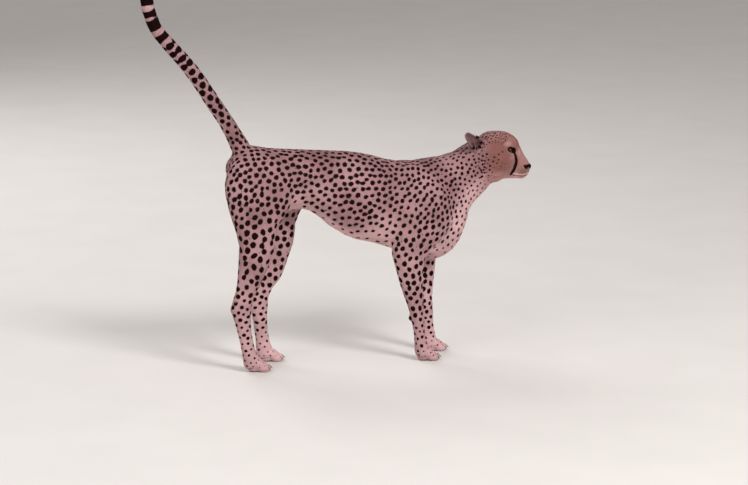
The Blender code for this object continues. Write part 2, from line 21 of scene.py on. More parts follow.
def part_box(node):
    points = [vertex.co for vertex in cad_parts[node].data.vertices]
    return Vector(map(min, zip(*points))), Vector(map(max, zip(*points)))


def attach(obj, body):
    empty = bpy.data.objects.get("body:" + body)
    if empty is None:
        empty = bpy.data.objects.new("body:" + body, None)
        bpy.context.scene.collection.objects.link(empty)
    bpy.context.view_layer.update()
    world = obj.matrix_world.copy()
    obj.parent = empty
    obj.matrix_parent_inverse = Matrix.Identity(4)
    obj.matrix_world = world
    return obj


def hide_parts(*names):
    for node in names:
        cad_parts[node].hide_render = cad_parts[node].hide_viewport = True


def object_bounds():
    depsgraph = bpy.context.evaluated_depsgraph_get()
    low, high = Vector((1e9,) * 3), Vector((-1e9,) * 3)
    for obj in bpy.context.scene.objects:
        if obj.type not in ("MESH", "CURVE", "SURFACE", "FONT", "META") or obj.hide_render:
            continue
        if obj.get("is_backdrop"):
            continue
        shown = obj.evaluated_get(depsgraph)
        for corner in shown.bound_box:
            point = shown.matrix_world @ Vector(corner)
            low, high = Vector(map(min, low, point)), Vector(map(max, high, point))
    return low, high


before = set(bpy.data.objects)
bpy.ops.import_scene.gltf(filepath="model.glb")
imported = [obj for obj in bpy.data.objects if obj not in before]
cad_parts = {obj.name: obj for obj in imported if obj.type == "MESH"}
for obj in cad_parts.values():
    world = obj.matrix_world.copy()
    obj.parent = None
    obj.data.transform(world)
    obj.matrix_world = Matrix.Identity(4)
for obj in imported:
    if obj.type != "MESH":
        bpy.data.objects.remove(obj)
cad_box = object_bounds()

# ---- sizes of the animal
HEAD_PIVOT = Matrix.Translation((0.5, 0.0, 0.76))
HEAD_TURN = HEAD_PIVOT @ Matrix.Rotation(math.radians(-9), 4, "Z") @ HEAD_PIVOT.inverted()
TURN = np.array(HEAD_TURN)[:3, :3]
EYE_SOLID = (0.659, 0.0385, 0.801)  # centre of the left eye's solid
EYE_CENTRE = (0.6585, 0.0345, 0.801)  # of the eye itself, in a face narrower than the solid
EYE_RADIUS = 0.0155
EYE_OUTWARD, EYE_UP, EYE_SLANT = math.radians(36), math.radians(6), math.radians(24)
LID_ALONG, LID_UP = 0.0126, 0.0083  # radii of the opening of the lids
NOSE_EDGE = [
    (0.718, 0.743), (0.756, 0.7415), (0.76, 0.733), (0.753, 0.7205), (0.735, 0.7203),
    (0.7235, 0.729),
]  # fmt: skip
LIPS = [
    (0.669, 0.707), (0.6772, 0.703), (0.6999, 0.6985), (0.715, 0.6975), (0.727, 0.7),
    (0.737, 0.703),
]  # fmt: skip
FORE_STRIDE = [(0.0, 0.07), (0.2, 0.077), (0.36, 0.098), (0.42, 0.1), (0.66, 0.0)]
HIND_STRIDE = [(0.0, 0.082), (0.25, 0.1), (0.33, 0.122), (0.55, 0.115), (0.84, 0.0)]
PAW_FORE, PAW_HIND = (0.33, 0.07), (-0.337, 0.072)
TOES = [(-1.0, -0.004, 14), (-0.36, 0.008, 4), (0.36, 0.008, -4), (1.0, -0.004, -14)]
TOE_SPREAD, TOE_LENGTH = 0.024, 0.0215
CLAW_RADIUS, CLAW_DROOP = 0.0028, math.radians(24)
EARS = {  # base, tip, and the way the hollow faces
    "right": ((0.544, -0.053, 0.816), (0.476, -0.078, 0.878), (0.3, -1.0, -0.15)),
    "left": ((0.578, 0.048, 0.805), (0.56, 0.116, 0.822), (0.8, 0.2, -0.35)),
}
TAIL = [  # points and radii
    (-0.35, 0, 0.79, 0.04), (-0.381, 0, 0.845, 0.037), (-0.408, 0, 0.898, 0.032),
    (-0.441, 0.001, 0.956, 0.0295), (-0.492, 0.002, 1.034, 0.029), (-0.54, 0.003, 1.111, 0.0285),
    (-0.596, 0.004, 1.186, 0.0275), (-0.652, 0.004, 1.25, 0.0262), (-0.697, 0.003, 1.308, 0.025),
    (-0.722, 0.002, 1.372, 0.025), (-0.733, 0, 1.435, 0.0262), (-0.737, -0.002, 1.485, 0.0262),
    (-0.738, -0.003, 1.515, 0.02), (-0.738, -0.003, 1.53, 0.01),
]  # fmt: skip
RINGS = [(1.267, 1.289), (1.308, 1.345), (1.354, 1.379), (1.399, 1.432)]  # heights of the black rings
SPOTS_END = 1.258  # height where the spots of the tail give way to rings

# ---- the camera
CAMERA_AZIMUTH, CAMERA_ELEVATION = math.radians(-15), math.radians(12)
CAMERA_DISTANCE = 11.0  # from the floor point under the body, along the view
CAMERA_RIGHT, CAMERA_UP = 0.1308, 0.4535  # of that point
LENS = 137.65

# ---- the coat
SKIN_VOXEL = 0.0022
SKIN_TRIANGLES = 185000
SKIN_MARGIN = 0.0006  # added to the solids before the voxels round them off
SKIN_LOW, TUFT_LOW, CLAW_LOW = 0.0002, 0.0004, 0.0006  # how near each comes to the floor
# Places on the right side, with the head straight: x, out, z, spot diameter and distance between
# spots in mm, length of a spot over its width, how pale from 0 to 1, fur in mm, lie of the fur.
COAT = [
    (-0.385, 0.04, 0.85, 17.5, 24, 1.1, 0.25, 9, -0.6, 0, 0.2),
    (-0.25, 0.03, 0.845, 17.5, 26.5, 1.1, 0.05, 9, -1, 0, 0),
    (-0.05, 0.03, 0.825, 17, 28, 1.1, 0.05, 9, -1, 0, 0),
    (0.2, 0.03, 0.775, 15, 26, 1.15, 0.08, 11, -1, 0, 0.05),
    (-0.2, 0.09, 0.75, 19, 27, 1.1, 0.12, 9, -0.97, 0, -0.25),
    (0, 0.1, 0.7, 19, 27.5, 1.1, 0.13, 9, -0.97, 0, -0.25),
    (0.12, 0.105, 0.65, 17.5, 27, 1.15, 0.16, 9, -0.95, 0, -0.3),
    (-0.02, 0.095, 0.56, 16, 28, 1.15, 0.18, 10, -0.95, 0, -0.3),
    (-0.05, 0.03, 0.53, 12, 38, 1, 0.75, 13, -1, 0, -0.05),
    (-0.2, 0.03, 0.6, 10, 42, 1, 0.8, 12, -1, 0, 0),
    (-0.14, 0.085, 0.6, 17, 29, 1.2, 0.2, 9, -0.8, 0, -0.5),
    (0.15, 0.04, 0.46, 14, 33, 1, 0.65, 12, -0.95, 0, -0.3),
    (0.36, 0.03, 0.4, 12, 30, 1, 0.9, 12, -0.6, 0, -0.8),
    (0.46, 0.03, 0.5, 13, 27, 1.1, 0.9, 11, -0.1, 0, -1),
    (0.51, 0.02, 0.6, 11, 25, 1.1, 0.85, 11, -0.1, 0, -1),
    (0.26, 0.07, 0.72, 15, 25, 1.2, 0.12, 9, -0.6, 0, -0.8),
    (0.34, 0.1, 0.6, 15, 25, 1.35, 0.12, 8, -0.4, 0, -0.92),
    (0.33, 0.1, 0.5, 17, 28, 1.3, 0.2, 8, -0.5, 0, -0.87),
    (0.23, 0.1, 0.45, 18, 30, 1.2, 0.25, 8, -0.3, 0, -0.95),
    (0.25, 0.115, 0.36, 24, 33, 1.2, 0.46, 7, 0, 0, -1),
    (0.265, 0.1, 0.26, 21, 30, 1.2, 0.46, 6, 0, 0, -1),
    (0.28, 0.1, 0.17, 18, 27, 1.2, 0.5, 5.5, 0, 0, -1),
    (0.3, 0.095, 0.1, 12, 24, 1, 0.55, 5, 0.1, 0, -1),
    (0.35, 0.07, 0.03, 6, 22, 1, 0.65, 4, 0.9, 0, -0.45),
    (0.26, 0.04, 0.36, 19, 34, 1.1, 0.75, 7, 0, 0, -1),
    (0.4, 0.08, 0.7, 13, 23, 1.05, 0.1, 9, -0.8, 0, -0.6),
    (0.48, 0.07, 0.74, 12, 21, 0.85, 0.05, 9, -0.85, 0, -0.5),
    (0.45, 0.02, 0.8, 10, 18, 1.1, 0.05, 12, -0.95, 0, -0.1),
    (0.55, 0.02, 0.66, 9, 22, 1, 0.6, 10, -0.6, 0, -0.75),
    (-0.33, 0.1, 0.76, 19, 26.5, 1.1, 0.12, 9, -0.8, 0, -0.6),
    (-0.33, 0.12, 0.66, 20.5, 28, 1.15, 0.15, 8, -0.6, 0, -0.8),
    (-0.43, 0.08, 0.66, 19.5, 28, 1.3, 0.28, 10, -0.3, 0, -0.95),
    (-0.23, 0.1, 0.58, 20, 29.5, 1.1, 0.28, 8, -0.5, 0, -0.87),
    (-0.33, 0.12, 0.52, 24, 33.5, 1.15, 0.33, 8, -0.25, 0, -0.97),
    (-0.35, 0.11, 0.42, 25, 35, 1.2, 0.4, 7, -0.2, 0, -0.98),
    (-0.38, 0.1, 0.33, 19, 31, 1.2, 0.42, 6, -0.2, 0, -0.98),
    (-0.4, 0.1, 0.26, 16, 26, 0.9, 0.46, 6, 0.1, 0, -1),
    (-0.39, 0.095, 0.17, 15, 25, 0.75, 0.5, 5.5, 0.1, 0, -1),
    (-0.375, 0.09, 0.09, 11, 24, 0.9, 0.55, 5, 0.2, 0, -1),
    (-0.32, 0.072, 0.03, 5, 22, 1, 0.65, 4, 0.9, 0, -0.45),
    # painted shade: the inner sides of the hind legs are kept only a little pale, darker than their
    # real whitish fur
    (-0.33, 0.03, 0.6, 17, 40, 1, 0.28, 10, -0.3, 0, -0.95),
    (-0.34, 0.05, 0.42, 21, 36, 1.1, 0.3, 7, -0.2, 0, -0.98),
    # the head
    (0.73, 0.01, 0.77, 0, 14, 1, 0.22, 3, -0.7, 0, 0.7),
    (0.72, 0.03, 0.715, 0, 14, 1, 0.1, 3.5, -0.95, 0.25, -0.1),
    (0.71, 0.01, 0.69, 0, 14, 1, 1, 4.5, -0.9, 0, -0.4),
    (0.675, 0.055, 0.765, 0, 13, 1, 0.15, 4, -0.95, 0.2, -0.2),
    (0.645, 0.065, 0.745, 0, 13, 1.1, 0.1, 5, -0.95, 0.2, -0.25),
    (0.61, 0.065, 0.75, 0, 14, 1.1, 0.06, 6.5, -0.9, 0.2, -0.35),
    (0.64, 0.05, 0.695, 0, 15, 1, 0.3, 6, -0.9, 0.1, -0.3),
    (0.6, 0.05, 0.69, 5, 17, 1.2, 0.3, 8, -0.9, 0.1, -0.5),
    (0.61, 0.065, 0.8, 0, 14, 1, 0, 5, -0.95, 0.2, 0.1),
    (0.662, 0.045, 0.826, 0, 12, 1, 0.15, 3.5, -0.6, 0.1, 0.8),
    (0.64, 0.045, 0.85, 5.2, 10, 1.2, 0.1, 4, -0.9, 0.1, 0.3),
    (0.685, 0.01, 0.84, 3.6, 9.5, 1.1, 0.15, 3.5, -0.8, 0, 0.7),
    (0.65, 0.01, 0.868, 6.2, 10, 1.3, 0.2, 4, -0.95, 0, 0.3),
    (0.6, 0.03, 0.87, 7.4, 11.5, 1.3, 0.25, 5.5, -1, 0, 0),
    (0.55, 0.03, 0.85, 7.5, 13, 1.3, 0.1, 9, -0.9, 0, -0.4),
    (0.545, 0.06, 0.755, 9, 18, 0.85, 0.02, 8, -0.9, 0.1, -0.4),
    (0.61, 0.01, 0.672, 7, 20, 1, 0.95, 8, -0.9, 0, -0.5),
    (0.705, 0.03, 0.785, 0, 13, 1, 0.22, 3, -0.8, 0.2, 0.55),
]
TUFT_SLOPE = 0.27  # how far a tuft's tip stands off, over the tuft's length
NOT_THERE = -50.0  # a marking's depth where there is none near


# ---- small helpers on rows of points
def unit(rows):
    return rows / np.maximum(np.linalg.norm(rows, axis=-1, keepdims=True), 1e-12)


def dot(a, b):
    return (a * b).sum(axis=-1)


def ramp(x, low, high):
    """0 below low and 1 above high, with a smooth rise between them."""
    t = np.clip((x - low) / (high - low), 0.0, 1.0)
    return t * t * (3 - 2 * t)


def fall(x, low, high):
    """1 below low and 0 above high."""
    return 1 - ramp(x, low, high)


def bell(x):
    return np.exp(-(x**2))


def oval(points, centre, radii):
    """Distance from the centre of an ellipsoid, with 1 at its surface."""
    return np.linalg.norm((points - centre) / radii, axis=1)


def laid(ways, normals):
    """The ways as they run along the surface."""
    return unit(ways - normals * dot(ways, normals)[:, None])


def turned(along, normals, angle):
    """The ways along the surface turned by angle, and the ways across them."""
    cos, sin = np.cos(angle)[:, None], np.sin(angle)[:, None]
    along = along * cos + np.cross(normals, along) * sin
    return along, np.cross(normals, along)


def ripple(points, size, seed):
    """Smooth noise, mostly within -1 to 1, with bumps about size across."""
    rng = np.random.default_rng(seed)
    total = np.zeros(len(points))
    for _ in range(7):
        wave = unit(rng.normal(size=3)) * math.tau / (size * rng.uniform(1.2, 2.6))
        total += np.sin(points @ wave + rng.uniform(0, math.tau))
    return total / 2.6


def segment_distance(points, path):
    """Distance from each point to a path, and how far along the path its nearest place is."""
    path = np.asarray(path, float)
    best = np.full(len(points), 1e9)
    along = np.zeros(len(points))
    start = 0.0
    for a, b in zip(path, path[1:]):
        length = np.linalg.norm(b - a)
        t = np.clip((points - a) @ (b - a) / length**2, 0.0, 1.0)
        d = np.linalg.norm(points - a - t[:, None] * (b - a), axis=1)
        nearer = d < best
        best[nearer] = d[nearer]
        along[nearer] = start + t[nearer] * length
        start += length
    return best, along


def stride(table, heights):
    """How much further ahead the left leg stands at these heights."""
    table = np.array(table)
    k = np.clip(np.searchsorted(table[:, 0], heights) - 1, 0, len(table) - 2)
    (h0, a0), (h1, a1) = table[k].T, table[k + 1].T
    return a0 + (a1 - a0) * ramp((heights - h0) / (h1 - h0), 0.0, 1.0)


def moved(points, matrix):
    m = np.array(matrix)
    return points @ m[:3, :3].T + m[:3, 3]


def head_straight(points):
    return moved(points, HEAD_TURN.inverted())


def folded(points):
    """The points on the right side, with the left legs drawn back and the head straight."""
    x, y, z = points.T
    left, fore, head = ramp(y, 0.0, 0.04), ramp(x, -0.12, 0.1), ramp(x, 0.5, 0.56)[:, None]
    ahead = fore * stride(FORE_STRIDE, z) + (1 - fore) * stride(HIND_STRIDE, z)
    straight, body = head_straight(points), points.copy()
    body[:, 0] -= ahead * left * (x < 0.52)
    found = body * (1 - head) + straight * head
    found[:, 1] = np.abs(np.where(head[:, 0] > 0.5, straight[:, 1], found[:, 1]))
    return found, np.sign(y)


def tail_line(steps=5):
    """Points and radii along the tail, with the distance along it and the way at each."""
    rows = np.array(TAIL)
    last = len(rows) - 1
    dense = []
    for i, s in product(range(last), range(steps)):
        a, b, c, d = (rows[max(0, min(last, i + k))] for k in (-1, 0, 1, 2))
        t = s / steps  # of the Catmull-Rom curve from b to c
        square, cube = 2 * a - 5 * b + 4 * c - d, 3 * b - a - 3 * c + d
        dense.append(0.5 * (2 * b + (c - a) * t + square * t**2 + cube * t**3))
    line = np.array(dense + [rows[last]])
    gaps = np.linalg.norm(np.diff(line[:, :3], axis=0), axis=1)
    return line, np.concatenate([[0], np.cumsum(gaps)]), unit(np.gradient(line[:, :3], axis=0))


TAIL_LINE, TAIL_LENGTH, TAIL_WAY = tail_line()


def find_shift():
    """How far the frame of the solids lies from the animal's own."""
    low, high = (np.array(corner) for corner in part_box("eye_right"))
    x, y, z = EYE_SOLID
    shift = (low + high) / 2 - np.array(HEAD_TURN @ Vector((x, -y, z)))
    shift[2] = 0.0
    return shift


def tree_of(places):
    """A tree that finds the nearest of these places."""
    tree = KDTree(len(places))
    for i, place in enumerate(places):
        tree.insert(place, i)
    tree.balance()
    return tree


# ---- small helpers on meshes
def new_object(name, data):
    obj = bpy.data.objects.new(name, data)
    bpy.context.scene.collection.objects.link(obj)
    return obj


def modified(obj, kind, **settings):
    """obj with one modifier of this kind applied to its mesh."""
    modifier = obj.modifiers.new(kind, kind)
    for key, value in settings.items():
        setattr(modifier, key, value)
    graph = bpy.context.evaluated_depsgraph_get()
    mesh = bpy.data.meshes.new_from_object(obj.evaluated_get(graph))
    obj.modifiers.clear()
    obj.data = mesh
    return obj


def surface(mesh):
    """The mesh's points and their normals."""
    flat = np.empty((2, len(mesh.vertices) * 3), np.float32)
    for row, what in zip(flat, ("co", "normal")):
        mesh.vertices.foreach_get(what, row)
    return flat.reshape(2, -1, 3).astype(float)


def triangles_of(mesh):
    corners = np.empty(len(mesh.polygons) * 3, np.int32)
    mesh.polygons.foreach_get("vertices", corners)
    return corners.reshape(-1, 3)


def set_points(mesh, points):
    mesh.vertices.foreach_set("co", points.astype(np.float32).ravel())
    mesh.update()


def smooth(mesh):
    mesh.polygons.foreach_set("use_smooth", np.ones(len(mesh.polygons), bool))
    return mesh


def mesh_of(name, bm):
    mesh = bpy.data.meshes.new(name)
    bm.to_mesh(mesh)
    bm.free()
    return mesh


def mesh_from(name, points, faces):
    """A mesh from rows of points and of three or four corners."""
    mesh = bpy.data.meshes.new(name)
    mesh.vertices.add(len(points))
    mesh.loops.add(faces.size)
    mesh.loops.foreach_set("vertex_index", faces.astype(np.int32).ravel())
    mesh.polygons.add(len(faces))
    starts = np.arange(0, faces.size, faces.shape[1], dtype=np.int32)
    mesh.polygons.foreach_set("loop_start", starts)
    mesh.update(calc_edges=True)
    set_points(mesh, points)
    return smooth(mesh)


def add_value(mesh, name, values):
    attribute = mesh.attributes.new(name, "FLOAT", "POINT")
    attribute.data.foreach_set("value", np.asarray(values, np.float32))


# ---- what the coat is like at each point
def coat_at(points):
    """Spot size, spacing, stretch, paleness, fur length and lie at each point."""
    table = np.array(COAT, float)
    places, values = table[:, :3], table[:, 3:].copy()
    q, side = folded(points)
    found = np.empty((len(points), values.shape[1]))
    for start in range(0, len(points), 50000):  # in parts, to spare memory
        part = slice(start, start + 50000)
        apart = q[part, None, :] - places
        apart[:, :, 1] *= 0.8
        near = 1.0 / (dot(apart, apart) + 1e-5) ** 2.2
        found[part] = near @ values / near.sum(axis=1, keepdims=True)
    found[:, 6] *= np.where(side < 0, -1, 1)
    lie = found[:, 5:8]
    head = ramp(points[:, 0], 0.5, 0.56)[:, None]
    lie = lie * (1 - head) + (lie @ TURN.T) * head
    on_tail = (points[:, 2] > 0.8) & (points[:, 0] < -0.33)
    if on_tail.any():
        d, along = segment_distance(points[on_tail], TAIL_LINE[:, :3])
        way = np.stack([np.interp(along, TAIL_LENGTH, column) for column in TAIL_WAY.T], axis=1)
        share = (ramp(along, 0.075, 0.13) * (d < 0.09))[:, None]
        height = np.interp(along, TAIL_LENGTH, TAIL_LINE[:, 2])
        tip = ramp(height, 1.38, 1.44)
        pale = 0.12 + 0.35 * ramp(height, 1.0, 1.28) + 0.33 * tip
        rows = np.stack(np.broadcast_arrays(17.5, 24.0, 1.0, pale, 9.0 + 8.0 * tip), axis=1)
        found[on_tail, :5] = found[on_tail, :5] * (1 - share) + rows * share
        lie[on_tail] = lie[on_tail] * (1 - share) + way * share
    return *found[:, :5].T, unit(lie)


def undersides(points, normals, pale):
    """Paleness with the white of the belly, the inner legs and the underside of head and tail."""
    x, y, z = points.T
    body = ramp(-normals[:, 2], 0.25, 0.85) * ramp(z, 0.3, 0.42)
    tail = (z > 0.9) & (x < -0.36)
    # the inner legs gain only a little white, kept low as painted shade on the inner hind legs
    legs = ramp(-np.sign(y) * normals[:, 1], 0.1, 0.8) * fall(z, 0.5, 0.62) * (np.abs(y) > 0.015)
    under_tail = np.where(tail & (z < 1.2), ramp(-normals[:, 0], 0.2, 0.9) * 0.5, 0.0)
    return np.clip(pale + 0.6 * body * ~tail + 0.2 * legs + under_tail, 0.0, 1.0)


# ---- the skin
def joined_flesh():
    """Every solid of flesh and the eyes as one mesh in the animal's frame, each a hair thicker."""
    bm = bmesh.new()
    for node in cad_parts.values():
        bm.from_mesh(node.data)
    bm.normal_update()
    for vert in bm.verts:
        vert.co += vert.normal * SKIN_MARGIN - Vector(SHIFT)
    return new_object("skin", mesh_of("skin", bm))


def weigh(obj, name, weights):
    """A new group of the object's vertices with these weights, in steps of a twentieth."""
    group = obj.vertex_groups.new(name=name)
    levels = np.round(np.clip(weights, 0, 1) * 20).astype(int)
    for level in np.unique(levels):
        group.add(np.nonzero(levels == level)[0].tolist(), float(level) / 20, "REPLACE")
    return name


def fineness(points):
    """1 on the head, the ears and the toes, 0 on the body."""
    head = ramp(head_straight(points)[:, 0], 0.53, 0.57) * (points[:, 2] > 0.62)
    ears = [fall(segment_distance(points, ear[:2])[0], 0.03, 0.04) for ear in EARS.values()]
    return np.max([head, *ears, fall(points[:, 2], 0.05, 0.09)], axis=0)


# Grooves and swellings of the right side: points (x, z), radius and height of the stroke.
BODY_STROKES = [
    ([(0.205, 0.745), (0.192, 0.64), (0.186, 0.54), (0.198, 0.465)], 0.016, -0.005),  # behind shoulder
    ([(0.238, 0.745), (0.3, 0.65), (0.345, 0.565)], 0.013, 0.003),  # spine of the shoulder blade
    ([(0.245, 0.62), (0.235, 0.51)], 0.026, 0.004),  # triceps
    ([(0.3, 0.6), (0.278, 0.51), (0.292, 0.44)], 0.012, -0.0035),  # in front of it
    ([(0.365, 0.745), (0.41, 0.65), (0.425, 0.56)], 0.016, -0.0045),  # neck and shoulder
    ([(-0.13, 0.7), (-0.15, 0.65)], 0.045, -0.006),  # flank
    ([(-0.19, 0.65), (-0.14, 0.605), (-0.105, 0.59)], 0.014, 0.0035),  # fold of the flank
    ([(-0.262, 0.8), (-0.25, 0.79)], 0.02, 0.0045),  # hip bone
    ([(-0.41, 0.78), (-0.414, 0.77)], 0.016, 0.004),  # seat bone
    ([(-0.31, 0.77), (-0.335, 0.67), (-0.33, 0.57)], 0.014, -0.0035),  # thigh
    ([(-0.385, 0.77), (-0.398, 0.67), (-0.378, 0.56)], 0.012, -0.0035),  # hamstrings
    ([(-0.24, 0.585), (-0.246, 0.57)], 0.016, 0.003),  # knee
    ([(-0.372, 0.44), (-0.39, 0.37), (-0.405, 0.305)], 0.0095, -0.0055),  # before the heel's tendon
    ([(0.248, 0.41), (0.252, 0.31), (0.27, 0.22)], 0.01, -0.0025),  # forearm
]
HEAD_STROKES = [
    ([(0.69, 0.826), (0.676, 0.834), (0.656, 0.832)], 0.007, 0.0026),  # brow
    ([(0.684, 0.781), (0.668, 0.777), (0.65, 0.783)], 0.004, -0.0016),  # under the eye
    ([(0.7, 0.798), (0.699, 0.792)], 0.01, -0.004),  # hollow by the inner corner of the eye
    ([(0.698, 0.79), (0.706, 0.772), (0.712, 0.752)], 0.009, -0.0026),  # beside the bridge of the nose
    ([(0.69, 0.735), (0.694, 0.718)], 0.009, -0.0018),  # behind the whisker pad
    ([(0.722, 0.716), (0.712, 0.714)], 0.011, 0.0014),  # whisker pad
    ([(0.664, 0.77), (0.64, 0.778), (0.62, 0.776)], 0.012, 0.0016),  # cheekbone
    ([(0.64, 0.755), (0.622, 0.745)], 0.02, 0.002),  # cheek
    ([(0.725, 0.7235), (0.708, 0.7225)], 0.002, -0.0007),  # rows of the whiskers
    ([(0.729, 0.7165), (0.706, 0.7155)], 0.002, -0.0007),
    ([(0.728, 0.7095), (0.708, 0.7085)], 0.002, -0.0007),
]


def stroke_heights(points, normals):
    """How far the grooves, ribs, swellings, mouth and nostrils raise or sink each point."""
    q, side = folded(points)
    outward = np.where(points[:, 0] > 0.53, (normals @ TURN)[:, 1], normals[:, 1])
    on_side = ramp(outward * np.where(side < 0, -1, 1), 0.05, 0.45)
    rise = np.zeros(len(points))
    flat = q[:, [0, 2]]

    def stroke(where, path, radius, height):
        d, _ = segment_distance(flat[where], path)
        rise[where] += height * bell(d / radius) * on_side[where]

    body = (q[:, 0] < 0.53) & (points[:, 2] < 0.85)
    for row in BODY_STROKES:
        stroke(body, *row)
    for i in range(7):  # the ribs
        stroke(body, ((0.165 - 0.036 * i, 0.715), (0.118 - 0.036 * i, 0.56)), 0.009, 0.0011)
    for row in HEAD_STROKES:
        stroke(q[:, 0] > 0.6, *row)
    lips = lip_heights(q)
    rise -= np.where(lips > -9, 0.003 * bell(lips / 2.0), 0.0)
    edge = (nose_share(narrowed(points)) - 1) * 8  # of the nose leather
    rise += 0.0008 * ramp(-edge, 0.0, 1.5) - 0.0012 * bell(edge - 1.2)
    for x, y, z, size in ((0.75, 0.0115, 0.73, 1.2), (0.744, 0.0185, 0.731, 1.0)):
        nostril = oval(q, (x, y, z), (0.006, 0.0034 * size, 0.0034 * size))
        rise -= 0.0034 * fall(nostril, 0.5, 1.1)
    cleft = oval(q, (0.75, 0.0, 0.718), (0.008, 0.002, 0.009))
    rise -= 0.002 * fall(cleft, 0.4, 1.1)
    return rise


def lip_heights(q):
    """Millimetres above the line of the mouth, or NOT_THERE off the muzzle."""
    line = np.array(LIPS)
    middle = 0.009 * fall(q[:, 1], 0.001, 0.015) * ramp(q[:, 0], 0.73, 0.741)
    height = (q[:, 2] - np.interp(q[:, 0], line[:, 0], line[:, 1]) - middle) * 1000
    return np.where((q[:, 0] > LIPS[0][0]) & (q[:, 2] < 0.74), height, NOT_THERE)


def narrowed(points):
    """The face drawn in before the cheeks, and the bridge of the nose and its leather most of all."""
    q = head_straight(points)
    x, _, z = q.T
    nose = ramp(x, 0.69, 0.722) * ramp(z, 0.7205, 0.731) * fall(z, 0.765, 0.812)
    jaw = ramp(x, 0.68, 0.7) * fall(lip_heights(np.abs(q)), -3.0, 0.0)
    face = ramp(x, 0.612, 0.662) * fall(x, 0.688, 0.722) * (z > 0.66)
    face *= 0.09 + 0.09 * fall(z, 0.765, 0.795) * ramp(z, 0.7, 0.735)
    near = (nose > 0) | (jaw > 0) | (face > 0)
    q[:, 1] *= 1 - 0.4 * nose - face - 0.1 * jaw * (z < 0.72)
    made = points.copy()
    made[near] = moved(q, HEAD_TURN)[near]
    return made


def eye_places():
    """(word, side, matrix) of each eye: its origin at the eye's centre and +X the way it looks."""
    x, y, z = EYE_CENTRE
    for side, word in ((1, "left"), (-1, "right")):
        place = HEAD_TURN @ Matrix.Translation((x, side * y, z))
        turn = Matrix.Rotation(side * EYE_OUTWARD, 4, "Z") @ Matrix.Rotation(-EYE_UP, 4, "Y")
        yield word, side, place @ (turn @ Matrix.Rotation(side * EYE_SLANT, 4, "X"))


def before_eye(points, place):
    """The points as the eye has them, and how far from its axis, with 1 at the edge of the lids."""
    local = moved(points, place.inverted())
    return local, np.hypot(local[:, 1] / LID_ALONG, local[:, 2] / LID_UP)


def lid_share(points):
    """How far each point is from the axis of the nearer eye, with 1 at the edge of its lids."""
    share = np.full(len(points), 9.0)
    for _, _, place in eye_places():
        local, across = before_eye(points, place)
        near = (local[:, 0] > 0) & (local[:, 0] < 0.03)
        share = np.where(near, np.minimum(share, across), share)
    return share


def open_sockets(points):
    """Draws the skin within each opening of the lids back behind the eye."""
    made = points.copy()
    for _, _, place in eye_places():
        local, across = before_eye(points, place)
        inside = (local[:, 0] > 0) & (across < 1.12)
        sunk = fall(across, 0.95, 1.12) * np.maximum(local[:, 0] - 0.004, 0)
        local[:, 0] -= np.where(inside, sunk, 0)
        made[inside] = moved(local, place)[inside]
    return made


def make_skin():
    """The skin, in the animal's frame, deeper than the solids by the depth of the coat."""
    skin = modified(joined_flesh(), "REMESH", mode="VOXEL", voxel_size=SKIN_VOXEL)
    body = weigh(skin, "body", 1 - fineness(surface(skin.data)[0]))
    modified(skin, "SMOOTH", factor=0.5, iterations=26, vertex_group=body)
    skin.vertex_groups.clear()
    modified(skin, "SMOOTH", factor=0.5, iterations=5)
    points, normals = surface(skin.data)
    bare = fall(nose_share(narrowed(points)), 0.9, 1.1)
    sole = ramp(-normals[:, 2], 0.6, 0.9) * (points[:, 2] < 0.02)
    depth = np.clip(coat_at(points)[4] * TUFT_SLOPE * 0.001, 0.0007, 0.006)
    rise = stroke_heights(points, normals) - depth * (1 - bare) * (1 - sole)
    points = open_sockets(narrowed(points + normals * rise[:, None]))
    points[:, 2] = np.maximum(points[:, 2], SKIN_LOW)
    set_points(skin.data, points)
    triangles = sum(len(p.vertices) - 2 for p in skin.data.polygons)
    group = weigh(skin, "fine", 0.9 - 0.1 * fineness(points))  # the finest keep edges half as long
    modified(
        skin, "DECIMATE", ratio=SKIN_TRIANGLES / triangles, use_collapse_triangulate=True,
        vertex_group=group, vertex_group_factor=0.35,
    )  # fmt: skip
    skin.vertex_groups.clear()
    smooth(skin.data).update()
    return skin


# ---- markings
def nose_share(points):
    """How far each point is outside the nose leather, with 1 at its edge and 8 mm to each unit."""
    x, y, z = head_straight(points).T
    out, front = np.abs(y), ramp(x, 0.732, 0.744)
    inside = (0.024 - out) * 1000
    for k, (corner_x, corner_z) in enumerate(NOSE_EDGE):
        ahead, up = np.array(NOSE_EDGE[(k + 1) % len(NOSE_EDGE)]) - (corner_x, corner_z)
        lift = 11.0 * out**2 if k < 2 else -front * 0.01 * (out / 0.014) ** 2
        apart = (x - corner_x) * up - (z + lift - corner_z) * ahead
        inside = np.minimum(inside, apart / math.hypot(ahead, up) * 1000)
    return np.where(x > 0.7, 1 - inside / 8, 9.0)


